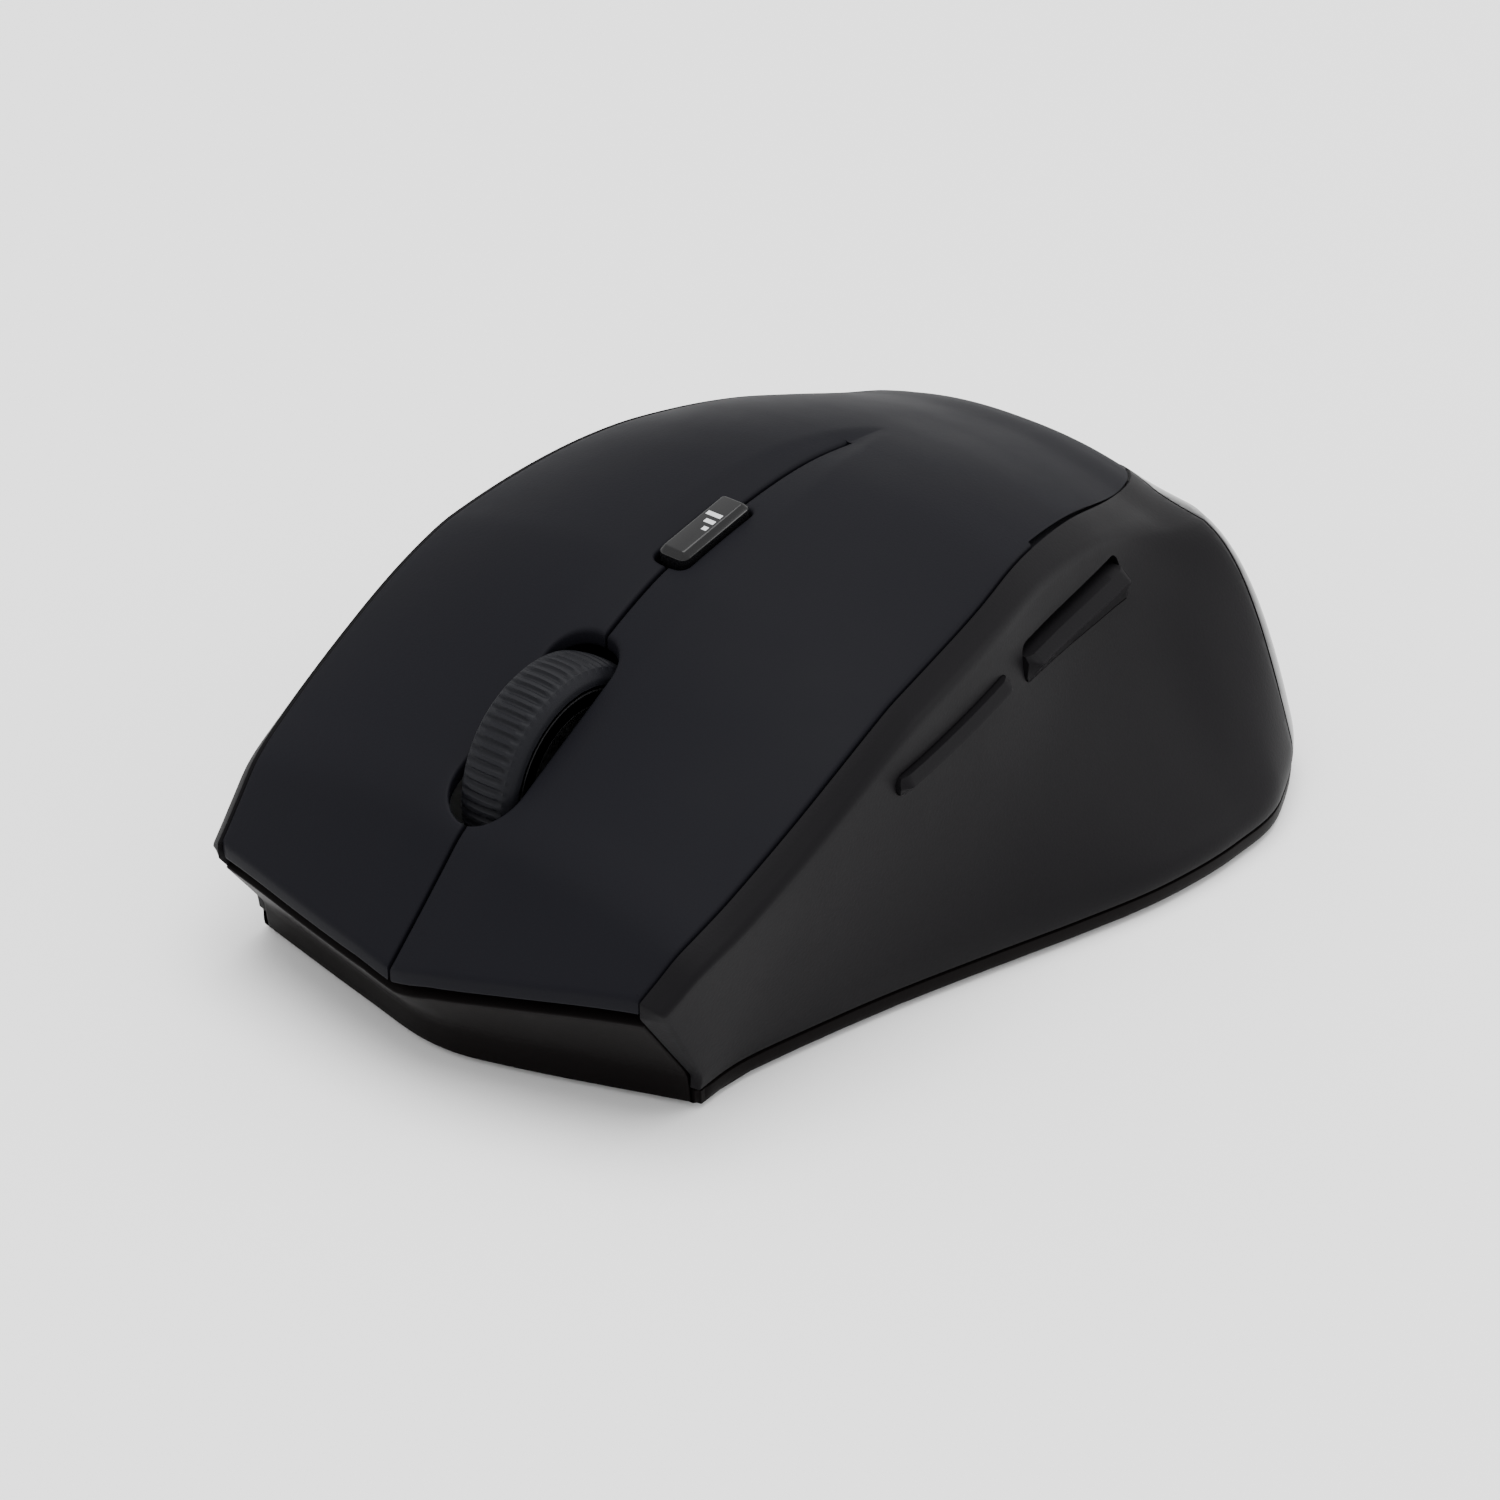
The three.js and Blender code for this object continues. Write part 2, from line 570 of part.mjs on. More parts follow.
function baseMoulding() {
  const plate = upright(offsetLoop(footLoop, -rimInset), baseBottom, floorTop);
  const nose = shell.intersect(noseZone(-gap / 2)).intersect(belowLip(frontGap));
  const inside = (top) => block([-bayInside, bayFrontY, baseBottom - 1], [bayInside, bayRearY, top]);
  const bay = block(
    [-bayHalfWidth, bayFrontY - bayWall, baseBottom], [bayHalfWidth, bayRearY + bayWall, bayTop])
    .subtract(inside(bayTop - bayWall));
  const bosses = [...rearScrews, ...frontScrews].map(([x, y]) => post(x, y, baseBottom, bossTop, bossRadius));
  const feet = standoffs.map(([x, y]) => post(x, y, baseBottom, boardHeight - gap, standoffRadius));
  let moulding = joined([plate, nose, ...bosses, ...feet]).subtract(inside(floorTop + 1)).add(bay);
  for (const [x, y] of [...rearScrews, ...frontScrews]) {
    moulding = moulding.subtract(screwHole(x, y));
    moulding = moulding.subtract(post(x, y, 0, baseBottom + headRecess, screwHead + gap));
  }
  for (const [x, y] of boardScrews) {
    moulding = moulding.subtract(post(x, y, boardScrewFoot, far, screwShank + gap));
  }
  moulding = moulding.subtract(post(lensX, lensY, 0, floorTop + 1, lensRadius + gap, 28));
  const [sx, sy] = sliderHalf.map((half) => half + gap);
  moulding = moulding.subtract(block(
    [sliderX - sx, sliderY - sy, 0], [sliderX + sx, sliderY + sy + sliderTravel, floorTop + 1]));
  for (const outline of Object.values(glideOutlines)) {
    moulding = moulding.subtract(upright(offsetLoop(outline, gap), 0, baseBottom + glideRecess));
  }
  return moulding;
}
add('base', baseMoulding(), satin);
for (const [name, outline] of Object.entries(glideOutlines)) {
  add(name, upright(outline, 0, glideThickness), ptfe);
}

// ---- battery bay ----
const door = block(
  [-bayInside + gap, bayFrontY + gap, baseBottom],
  [bayInside - gap, bayRearY - gap, baseBottom + doorThickness]);
const doorGrip = bar(0, bayRearY - 6, 4, 1);
add('battery_door', door.subtract(upright(doorGrip, 0, baseBottom + 0.5)), satin);

const cellFrontY = bayFrontY + 3;
const cellX = cellDiameter / 2 + 0.35;
function cell() {
  const radius = cellDiameter / 2;
  const nub = [1.9, 1];
  const profile = [
    [0, 0], [radius - 0.5, 0], [radius, 0.5], [radius, cellLength - 0.5 - nub[1]],
    [radius - 0.5, cellLength - nub[1]], [nub[0], cellLength - nub[1]], [nub[0], cellLength], [0, cellLength],
  ].map(([r, along]) => new THREE.Vector2(r, along));
  return new THREE.LatheGeometry(profile, 18);
}
add('battery_left', solid(cell().translate(cellX, cellFrontY, cellZ)), cellSkin);
add('battery_right', solid(
  cell().rotateX(Math.PI).translate(-cellX, cellFrontY + cellLength, cellZ)), cellSkin);

// Sprung contacts: a cone of wire that narrows towards the cell.
const springFoot = 3.4;
const springTip = 1.8;
class SpringPath extends THREE.Curve {
  constructor(x, y, z, length, turns) {
    super();
    Object.assign(this, { x, y, z, length, turns });
  }
  getPoint(t, target = new THREE.Vector3()) {
    const angle = 2 * Math.PI * this.turns * t;
    const radius = springFoot + (springTip - springFoot) * t;
    return target.set(
      this.x + radius * Math.cos(angle), this.y + this.length * t, this.z + radius * Math.sin(angle));
  }
}
function wireSpring(x, y, length) {
  const section = new THREE.Shape().absarc(0, 0, 0.25, 0, 2 * Math.PI);
  return solid(new THREE.ExtrudeGeometry(section, {
    curveSegments: 4, steps: 26, bevelEnabled: false, extrudePath: new SpringPath(x, y, cellZ, length, 3),
  }));
}
const contactThickness = 0.4;
const contactHeight = [baseBottom + 2.6, bayTop - bayWall - gap];
const contactPlate = (x0, x1, y0) => block(
  [x0, y0, contactHeight[0]], [x1, y0 + contactThickness, contactHeight[1]]);
add('contact_left', contactPlate(1, bayInside - gap, bayFrontY + gap), steel);
add('contact_right', contactPlate(-bayInside + gap, -1, bayFrontY + gap), brass);
add('contact_bridge', contactPlate(
  -bayInside + gap, bayInside - gap, bayRearY - gap - contactThickness), steel);
add('contact_spring', wireSpring(cellX, bayFrontY + gap + contactThickness + 0.5, 1), steel);

// ---- main board and what stands on it ----
const boardHalfWidth = 0.8 * topHalfWidth;
const boardNeck = 0.56 * topHalfWidth;
const neckY = -0.15 * bodyLength;
const sensorHole = 3;
let mainBoard = upright([
  [-boardHalfWidth, boardFrontY], [boardHalfWidth, boardFrontY], [boardHalfWidth, neckY], [boardNeck, neckY],
  [boardNeck, boardRearY], [-boardNeck, boardRearY], [-boardNeck, neckY], [-boardHalfWidth, neckY],
], boardHeight, boardTop).subtract(post(lensX, lensY, 0, far, sensorHole));
for (const [x, y] of boardScrews) mainBoard = mainBoard.subtract(post(x, y, 0, far, screwShank + gap));
// A large wheel dips into an opening in the board.
const wheelWell = axle(
  wheelOffset - wheelSide, wheelOffset + wheelSide, wheelY, wheelZ, wheelRadius + wheelPressTravel + 2 * gap);
mainBoard = mainBoard.subtract(wheelWell);
add('main_board', mainBoard, boardGreen);

const onBoard = ([x, y], [sx, sy, sz], lift = gap) => block(
  [x - sx / 2, y - sy / 2, boardTop + lift], [x + sx / 2, y + sy / 2, boardTop + lift + sz]);
add('optical_sensor', onBoard([lensX, lensY], sensorSize), chip);
add('sensor_lens', joined([
  post(lensX, lensY, baseBottom + 0.3, floorTop + 0.6, lensRadius, 28),
  block(
    [lensX - lensFlange, lensY - lensFlange, floorTop + gap],
    [lensX + lensFlange, lensY + lensFlange, floorTop + 1.6]),
  post(lensX, lensY, floorTop + 1.2, boardHeight - gap, 2.4),
]), clear);
add('controller_chip', onBoard([-0.33 * topHalfWidth - 1, lensY - 1], [7, 7, 1]), chip);
add('crystal', onBoard([0.33 * topHalfWidth + 1, lensY - 2], [3.2, 7, 2.6]), steel);

boardScrews.forEach(([x, y], i) => {
  const shank = post(x, y, 3.4, boardTop + gap + 0.1, screwShank);
  add(`board_screw_${i + 1}`, shank.add(post(x, y, boardTop + gap, boardTop + gap + 1.1, screwHead)), steel);
});

const wellFloor = 2;
const plungerTravel = 1.2;
function smallSwitch(side) {
  const wellSize = plungerSize.map((size) => size + 2 * gap);
  const well = onBoard([side * switchX, plungerY], [...wellSize, far], wellFloor);
  return onBoard([side * switchX, switchY], switchSize).subtract(well);
}
const plunger = (side) => {
  const [halfX, halfY] = plungerSize.map((size) => size / 2);
  return block(
    [side * switchX - halfX, plungerY - halfY, boardTop + wellFloor + 2 * gap + plungerTravel],
    [side * switchX + halfX, plungerY + halfY, boardTop + gap + switchSize[2] + plungerRise]);
};
add('left_switch', smallSwitch(1), chip);
add('right_switch', smallSwitch(-1), chip);
add('left_plunger', plunger(1), whitePlastic);
add('right_plunger', plunger(-1), whitePlastic);

// ---- scroll wheel ----
const rimRadius = wheelRadius - tyreThickness;
const ribDepth = 0.35;
function tyre() {
  const outline = new THREE.Shape();
  for (let i = 0; i < 2 * wheelRibs; i++) {
    const radius = wheelRadius - (i % 2 ? ribDepth : 0);
    const angle = Math.PI * (i + 0.5) / wheelRibs;
    outline[i ? 'lineTo' : 'moveTo'](radius * Math.cos(angle), radius * Math.sin(angle));
  }
  outline.closePath();
  outline.holes.push(new THREE.Path().absarc(0, 0, rimRadius + gap, 0, 2 * Math.PI));
  const geometry = new THREE.ExtrudeGeometry(outline, {
    depth: wheelWidth, bevelEnabled: false, curveSegments: 24,
  });
  geometry.translate(0, 0, -wheelWidth / 2).rotateY(Math.PI / 2);
  return solid(geometry.translate(wheelOffset, wheelY, wheelZ));
}
add('wheel_tyre', tyre(), rubber);

const shaftHalf = wheelWidth / 2 + 9.4;
const spokes = 6;
const windowRadius = 1.5;
function hub() {
  const half = wheelWidth / 2;
  const web = half - 1.2;
  const profile = [
    [0, -shaftHalf], [shaftRadius, -shaftHalf], [shaftRadius, -web], [rimRadius - 3, -web],
    [rimRadius - 2, -half], [rimRadius, -half], [rimRadius, half], [rimRadius - 2, half],
    [rimRadius - 3, web], [shaftRadius, web], [shaftRadius, shaftHalf], [0, shaftHalf],
  ].map(([r, along]) => new THREE.Vector2(r, along));
  const geometry = new THREE.LatheGeometry(profile, 30).rotateZ(Math.PI / 2);
  let shape = solid(geometry.translate(wheelOffset, wheelY, wheelZ));
  const windowReach = (rimRadius - 3 + shaftRadius) / 2 + 0.6;
  for (let i = 0; i < spokes; i++) {
    const angle = 2 * Math.PI * i / spokes;
    shape = shape.subtract(axle(
      wheelOffset - half, wheelOffset + half,
      wheelY + windowReach * Math.cos(angle), wheelZ + windowReach * Math.sin(angle), windowRadius, 12));
  }
  return shape;
}
add('wheel_hub', hub(), greyPlastic);

// The cradle carries the shaft's two ends and sinks when the wheel is pressed.
const cheekInner = wheelWidth / 2 + 1.6;
const cheekOuter = cheekInner + cheekThickness;
const cradleBottom = boardTop + gap + wheelPressTravel + 0.2;
const railHeight = 2.4;
const cheekHalf = 3.4;
const tabLift = 6.4;
const tabLength = 5;
function cradle() {
  const cheek = (x0) => block(
    [x0, wheelY - cheekHalf, cradleBottom],
    [x0 + cheekThickness, wheelY + cheekHalf, wheelZ + shaftRadius + cheekThickness]);
  const rail = (x0) => block(
    [x0, wheelY - cradleReach, cradleBottom],
    [x0 + cheekThickness, wheelY + cradleReach, cradleBottom + railHeight]);
  const bridge = (y0) => block(
    [wheelOffset - cheekOuter, y0, cradleBottom],
    [wheelOffset + cheekOuter, y0 + cheekThickness, cradleBottom + railHeight]);
  const tab = block(
    [wheelOffset + cheekOuter - 0.2, wheelY - 2, cradleBottom + tabLift],
    [wheelOffset + cheekOuter + tabLength, wheelY + 2, cradleBottom + tabLift + cheekThickness]);
  const sides = [wheelOffset - cheekOuter, wheelOffset + cheekInner];
  return joined([
    ...sides.map(cheek), ...sides.map(rail), tab,
    bridge(wheelY - cradleReach), bridge(wheelY + cradleHalfLength),
  ]).subtract(axle(-far, far, wheelY, wheelZ, shaftRadius + gap));
}
add('wheel_cradle', cradle(), whitePlastic);

const middleX = wheelOffset + cheekOuter + 3.4;
const middleHeight = cradleBottom + tabLift - gap - plungerRise - boardTop - gap;
const middleHalf = [0.8, 1];
const middleWell = middleHalf.map((half) => 2 * (half + gap));
add('middle_switch', onBoard([middleX, wheelY], [4.6, 6, middleHeight])
  .subtract(onBoard([middleX, wheelY], [...middleWell, far], wellFloor)), chip);
const [middleHalfX, middleHalfY] = middleHalf;
add('middle_plunger', block(
  [middleX - middleHalfX, wheelY - middleHalfY, boardTop + wellFloor + 2 * gap + wheelPressTravel],
  [middleX + middleHalfX, wheelY + middleHalfY, boardTop + gap + middleHeight + plungerRise]), whitePlastic);

// The scroll encoder straddles the shaft's outer end; its opening is tall enough for the press.
const encoderX = wheelOffset - cheekOuter - gap - 0.6;
const encoderSlot = shaftRadius + gap;
const encoderSize = [4.2, 8, 2.4];         // across, along, and above the shaft
function encoder() {
  const [across, along, above] = encoderSize;
  const lowZ = wheelZ - wheelPressTravel;
  return block(
    [encoderX - across, wheelY - along / 2, boardTop + gap],
    [encoderX, wheelY + along / 2, wheelZ + shaftRadius + above])
    .subtract(axle(-far, encoderX + 1, wheelY, wheelZ, encoderSlot))
    .subtract(axle(-far, encoderX + 1, wheelY, lowZ, encoderSlot))
    .subtract(block([-far, wheelY - encoderSlot, lowZ], [encoderX + 1, wheelY + encoderSlot, wheelZ]));
}
add('scroll_encoder', encoder(), greyPlastic);

// ---- frame under the covers, with the resolution switch and the thumb switches ----
const frameZ = 0.68 * bodyHeight;
const legX = 0.8 * topHalfWidth;
const legHalf = 2.6;
const frameFrontY = -0.112 * bodyLength;
const frameRearY = 0.06 * bodyLength;
const columnHalf = 6;
const columnRise = 2.2;
function topFrame() {
  const plate = block([-legX - legHalf, frameFrontY, frameZ], [sideBoardX - 1, frameRearY, frameZ + wall]);
  const legs = frontScrews.map(([x, y]) => block(
    [x - legHalf, y - legHalf, bossTop + gap], [x + legHalf, y + legHalf, frameZ + wall])
    .subtract(screwHole(x, y)));
  const arm = block(
    [sideBoardX - 1.2, frameFrontY, frameZ], [legX + legHalf, frontScrews[0][1] + legHalf, frameZ + wall]);
  const column = block(
    [-columnHalf, dpiY - columnHalf, frameZ], [columnHalf, dpiY + columnHalf, frameZ + wall + columnRise]);
  return joined([plate, ...legs, arm, column]);
}
add('top_frame', topFrame(), satin);

const dpiBoardZ = frameZ + wall + columnRise + gap;
const dpiBoardHalf = 5.5;
add('top_board', block(
  [-dpiBoardHalf, dpiY - dpiBoardHalf, dpiBoardZ],
  [dpiBoardHalf, dpiY + dpiBoardHalf, dpiBoardZ + boardThickness]), boardGreen);
const dpiSwitchSize = [3.6, 4.4, 1.2];
const dpiSwitchFoot = dpiBoardZ + boardThickness + gap;
const dpiSwitchTop = dpiSwitchFoot + dpiSwitchSize[2];
add('dpi_switch', block(
  [-dpiSwitchSize[0] / 2, dpiY - dpiSwitchSize[1] / 2, dpiSwitchFoot],
  [dpiSwitchSize[0] / 2, dpiY + dpiSwitchSize[1] / 2, dpiSwitchTop]), steel);

const dpiTravel = 0.5;
const dpiDepth = 2.6;
const dpiStemHalf = 0.9;
function dpiCap() {
  const reach = dpiLength / 3;
  const slope = Math.atan2(topHeight(0, dpiY + reach) - topHeight(0, dpiY - reach), 2 * reach);
  const chamfer = 0.7;
  const outline = bar(0, 0, dpiWidth / 2 - chamfer, dpiLength / 2 - chamfer, 0, 0.6, 3);
  const shape = new THREE.Shape(outline.map(([x, y]) => new THREE.Vector2(x, y)));
  const geometry = new THREE.ExtrudeGeometry(shape, {
    depth: dpiDepth, bevelEnabled: true, bevelThickness: chamfer, bevelSize: chamfer, bevelSegments: 1,
  });
  geometry.translate(0, 0, dpiRise - dpiDepth - chamfer).rotateX(slope);
  geometry.translate(0, dpiY, topHeight(0, dpiY) + channelDepth);
  const stem = block(
    [-dpiStemHalf, dpiY - dpiStemHalf, dpiSwitchTop + gap + dpiTravel],
    [dpiStemHalf, dpiY + dpiStemHalf, topHeight(0, dpiY) - 1]);
  return solid(geometry).add(stem);
}
add('dpi_button', dpiCap(), gloss);

const thumbBoardZ = [0.5 * bodyHeight, 0.72 * bodyHeight];
const thumbBoardY = [-0.05 * bodyLength, 0.27 * bodyLength];
add('side_board', block(
  [sideBoardX, thumbBoardY[0], thumbBoardZ[0]],
  [sideBoardX + boardThickness, thumbBoardY[1], thumbBoardZ[1]]), boardGreen);
const thumbSwitchReach = { along: 3, below: 3.2, above: 0 };
const thumbSwitchX = [sideBoardX + boardThickness + gap, sideBoardX + boardThickness + thumbSwitchDepth];
for (const [name, button] of Object.entries(thumbButtons)) {
  const [y, z] = [button.y * bodyLength, button.z * bodyHeight];
  add(name.replace('button', 'switch'), block(
    [thumbSwitchX[0], y - thumbSwitchReach.along, z - thumbSwitchReach.below],
    [thumbSwitchX[1], y + thumbSwitchReach.along, z + thumbSwitchReach.above]), chip);
}

// ---- power switch ----
const powerZ = floorTop + 2.2;
const powerHalf = [3, 4];
add('power_switch', block(
  [sliderX - powerHalf[0], sliderY - powerHalf[1], powerZ],
  [sliderX + powerHalf[0], sliderY + powerHalf[1] + sliderTravel, boardHeight - gap]), steel);
const slider = (grow, foot) => block(
  [sliderX - sliderHalf[0] - grow, sliderY - sliderHalf[1] - grow, foot],
  [sliderX + sliderHalf[0] + grow, sliderY + sliderHalf[1] + grow, powerZ - gap]);
add('power_slider', slider(0, baseBottom + 0.2).add(slider(1, floorTop + gap)), whitePlastic);

// ---- screws from below ----
const headThickness = 1.2;
[...frontScrews, ...rearScrews].forEach(([x, y], i) => {
  const headBottom = baseBottom + 0.3;
  const recess = post(x, y, 0, headBottom + headThickness / 2, 0.8, 6);
  const head = post(x, y, headBottom, headBottom + headThickness, screwHead).subtract(recess);
  const shank = post(x, y, headBottom + headThickness / 2, headBottom + screwLength, screwShank);
  add(`case_screw_${i + 1}`, head.add(shank), steel);
});

// The origin is the middle of the footprint, at desk height.
const extent = new THREE.Box3().setFromObject(mouse);
mouse.position.set(-(extent.min.x + extent.max.x) / 2, -(extent.min.y + extent.max.y) / 2, 0);
export default mouse;
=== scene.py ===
import math

import bmesh
import bpy
from mathutils import Matrix, Vector, geometry, kdtree


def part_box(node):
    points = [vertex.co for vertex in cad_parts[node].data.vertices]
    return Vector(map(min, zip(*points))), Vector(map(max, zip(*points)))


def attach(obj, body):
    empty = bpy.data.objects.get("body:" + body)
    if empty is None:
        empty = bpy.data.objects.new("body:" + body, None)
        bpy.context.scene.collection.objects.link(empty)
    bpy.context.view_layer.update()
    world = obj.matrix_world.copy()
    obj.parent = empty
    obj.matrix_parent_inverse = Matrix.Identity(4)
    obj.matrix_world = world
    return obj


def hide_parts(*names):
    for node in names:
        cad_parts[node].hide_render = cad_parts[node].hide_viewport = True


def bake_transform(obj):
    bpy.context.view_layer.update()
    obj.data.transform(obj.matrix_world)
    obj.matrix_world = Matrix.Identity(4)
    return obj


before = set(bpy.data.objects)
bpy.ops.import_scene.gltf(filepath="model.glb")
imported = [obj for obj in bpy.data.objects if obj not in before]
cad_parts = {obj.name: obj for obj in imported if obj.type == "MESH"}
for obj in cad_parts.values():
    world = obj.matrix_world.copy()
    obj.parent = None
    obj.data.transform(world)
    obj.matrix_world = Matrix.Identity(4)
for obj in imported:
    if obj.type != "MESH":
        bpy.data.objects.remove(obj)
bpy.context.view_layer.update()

# The shapes below are worked out in millimetres, with the centre seam at x = 0 and the desk at z = 0.
form = {
    "halfWidth": 29.9,      # centre seam to the side seams, at the widest
    "length": 110.0,
    "height": 42.5,
    "lip": 4.4,             # height where the side panels are widest
    "rimTop": 2.5,
    "floor": 0.8,
    "gap": 0.35,            # between neighbouring mouldings
    "bendY": 22.0,          # the main buttons bend here
    "lensY": -5.875,
}
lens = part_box("sensor_lens")
seamX = (lens[0][0] + lens[1][0]) / 2
seamY = (lens[0][1] + lens[1][1]) / 2 - form["lensY"] / 1000
toRow = Matrix.Translation((seamX, seamY, 0)) @ Matrix.Scale(0.001, 4)


# the camera
camera = {
    "azimuth": 39.0, "elevation": 32.0, "distance": 500.0, "lens": 111.6,
    "sensor": 36,
    "aimSide": 3.339, "aimUp": 11.301,  # how far the view is shifted to the right and up
}


def makeCamera():
    turn, lift = math.radians(camera["azimuth"]), math.radians(camera["elevation"])
    back = Vector((math.sin(turn) * math.cos(lift), -math.cos(turn) * math.cos(lift), math.sin(lift)))
    right = Vector((math.cos(turn), math.sin(turn), 0))
    up = back.cross(right)
    spot = back * camera["distance"] + right * camera["aimSide"] + up * camera["aimUp"]
    data = bpy.data.cameras.new("camera")
    data.lens = camera["lens"]
    data.sensor_width = camera["sensor"]
    data.clip_start = 0.01
    data.clip_end = 20
    obj = bpy.data.objects.new("camera", data)
    bpy.context.collection.objects.link(obj)
    basis = Matrix((right, up, back)).transposed().to_4x4()
    obj.matrix_world = Matrix.Translation(toRow @ spot) @ basis
    bpy.context.scene.camera = obj


makeCamera()


# smooth curves through listed points
def curveAt(points, x):
    last = len(points) - 1
    i = 0
    while i < last - 1 and x > points[i + 1][0]:
        i += 1

    def slope(j):
        before, after = points[max(j - 1, 0)], points[min(j + 1, last)]
        return (after[1] - before[1]) / (after[0] - before[0])

    (x0, y0), (x1, y1) = points[i], points[i + 1]
    if x < x0:
        return y0 + slope(0) * (x - x0)
    if x > x1:
        return y1 + slope(last) * (x - x1)
    span = x1 - x0
    t = (x - x0) / span
    return (
        y0 * (1 + 2 * t) * (1 - t) ** 2
        + y1 * t * t * (3 - 2 * t)
        + slope(i) * span * t * (1 - t) ** 2
        - slope(i + 1) * span * t * t * (1 - t)
    )


def alongOutline(points, s):
    last = len(points) - 1
    p = min(max(s, 0), 1) * last
    i = min(int(p), last - 1)
    w = p - i
    p0, p1 = points[max(i - 1, 0)], points[i]
    p2, p3 = points[min(i + 1, last)], points[min(i + 2, last)]
    out = []
    for k in (0, 1):
        a, b = (p2[k] - p0[k]) / 2, (p3[k] - p1[k]) / 2
        cubic, square = 2 * (p1[k] - p2[k]) + a + b, 3 * (p2[k] - p1[k]) - 2 * a - b
        out.append(cubic * w**3 + square * w**2 + a * w + p1[k])
    return Vector((out[0] * form["halfWidth"], out[1] * form["length"]))


# the body's outer form
# Outlines in plan: x in shares of the half-width, y in shares of the length.
# Heights are shares of the height. Lists by s run round the side from the front corner to the tail.
body = {
    "frontEdge": [
        (-0.9, -0.434), (-0.468, -0.4555), (-0.114, -0.4675),
        (0.114, -0.4665), (0.485, -0.443), (0.9, -0.409)],
    "seamSide": [
        (0.9, -0.409), (0.957, -0.345), (0.99, -0.255), (1, -0.145), (0.977, -0.036), (0.923, 0.073),
        (0.825, 0.182), (0.73, 0.291), (0.645, 0.39), (0.53, 0.472), (0.33, 0.51), (0, 0.522)],
    "footFront": [(-0.91, -0.3765), (-0.351, -0.4055), (0.017, -0.42), (0.328, -0.4), (0.9, -0.3405)],
    "footThumb": [
        (0.95, -0.338), (0.95, -0.282), (1.01, -0.2045), (1.104, -0.1045), (1.224, 0), (1.344, 0.1),
        (1.445, 0.2), (1.488, 0.3045), (1.448, 0.4), (1.17, 0.514), (0.603, 0.538), (0, 0.5365)],
    "footOuter": [
        (-0.97, -0.3725), (-0.957, -0.3), (-0.977, -0.218), (-1.01, -0.118), (-1.037, -0.009),
        (-1.057, 0.091), (-1.07, 0.191), (-1.064, 0.291), (-1.003, 0.391), (-0.836, 0.473),
        (-0.435, 0.5255), (0, 0.5365)],
    "crown": [
        (-0.4675, 0.32), (-0.423, 0.426), (-0.3945, 0.496), (-0.3655, 0.565), (-0.309, 0.649),
        (-0.236, 0.751), (-0.1645, 0.849), (-0.113, 0.908), (-0.073, 0.941), (0.041, 0.988), (0.127, 1),
        (0.2, 0.979), (0.273, 0.935), (0.345, 0.872), (0.409, 0.811), (0.464, 0.762), (0.5, 0.705),
        (0.522, 0.61)],
    "sideFall": [
        (-0.4675, 0.065), (-0.364, 0.082), (-0.2545, 0.093), (-0.1455, 0.111), (0, 0.13), (0.127, 0.156),
        (0.2, 0.172), (0.291, 0.187), (0.391, 0.205), (0.522, 0.23)],
    "channel": [
        (-0.464, 0.154), (-0.364, 0.187), (-0.136, 0.2), (0, 0.187), (0.11, 0.14), (0.2, 0.08),
        (0.255, 0.02)],
    "channelDepth": 0.6,
    "channelEnd": 0.255,    # where the shallow channel down the middle runs out, and over what share
    "channelFade": 0.06,
    "crossPower": 2.3,      # how late the top falls off towards its sides
    "cornerStagger": 0.025,  # the outer front corner stands this much further forward,
    "staggerReach": 0.15,    # fading out over this share of the side
    "cornerSwing": 0.09,     # the way out of the side swings round the front corner over this share
    # side seam to the shoulder, down and outwards, in millimetres
    "shoulderFall": [(0, 0.9), (0.15, 1.9), (0.7, 2.1), (1, 3)],
    "reach": {
        1: [(0, 2.7), (0.45, 2.7), (0.75, 4.2), (0.9, 2.8), (1, 1.2)],
        -1: [(0, 1.5), (0.6, 1.5), (1, 1.2)]},
    "hollow": {
        1: [(0, 1), (0.25, 1.3), (0.45, 2), (0.62, 1.5), (0.78, 0.42), (0.88, 0.45), (1, 0.42)],
        -1: [(0, 0.95), (0.5, 0.8), (0.8, 0.5), (1, 0.5)]},
    "buttonFace": 1.8,      # height of the main buttons' front faces
    "noseGap": 1.4,
}


def topHeight(x, y):
    along = y / form["length"]
    across = abs(x) / form["halfWidth"]
    channel = max(0, 1 - across / max(curveAt(body["channel"], along), 0.02))
    fade = min(1, max(0, (body["channelEnd"] - along) / body["channelFade"]))
    rise = curveAt(body["crown"], along) - curveAt(body["sideFall"], along) * across ** body["crossPower"]
    return form["height"] * rise - body["channelDepth"] * channel * fade


def seamPoint(s, side):
    point = alongOutline(body["seamSide"], s)
    if side < 0:
        fade = max(0, 1 - s / body["staggerReach"]) ** 2
        point.y -= body["cornerStagger"] * form["length"] * fade
    return Vector((side * point.x, point.y))


def seamOutwards(s, side):
    if s < 1e-6:
        return Vector((side * 0.97, 0.24)).normalized()
    step = 0.004
    along = seamPoint(min(s + step, 1), side) - seamPoint(max(s - step, 0), side)
    if s > 1 - step:
        return Vector((0, 1))
    return Vector((side * along.y, -side * along.x)).normalized()


def seamAtY(y, side):
    low, high = 0.0, 0.9
    for _ in range(30):
        middle = (low + high) / 2
        if seamPoint(middle, side).y < y:
            low = middle
        else:
            high = middle
    return low


stationStore = {}


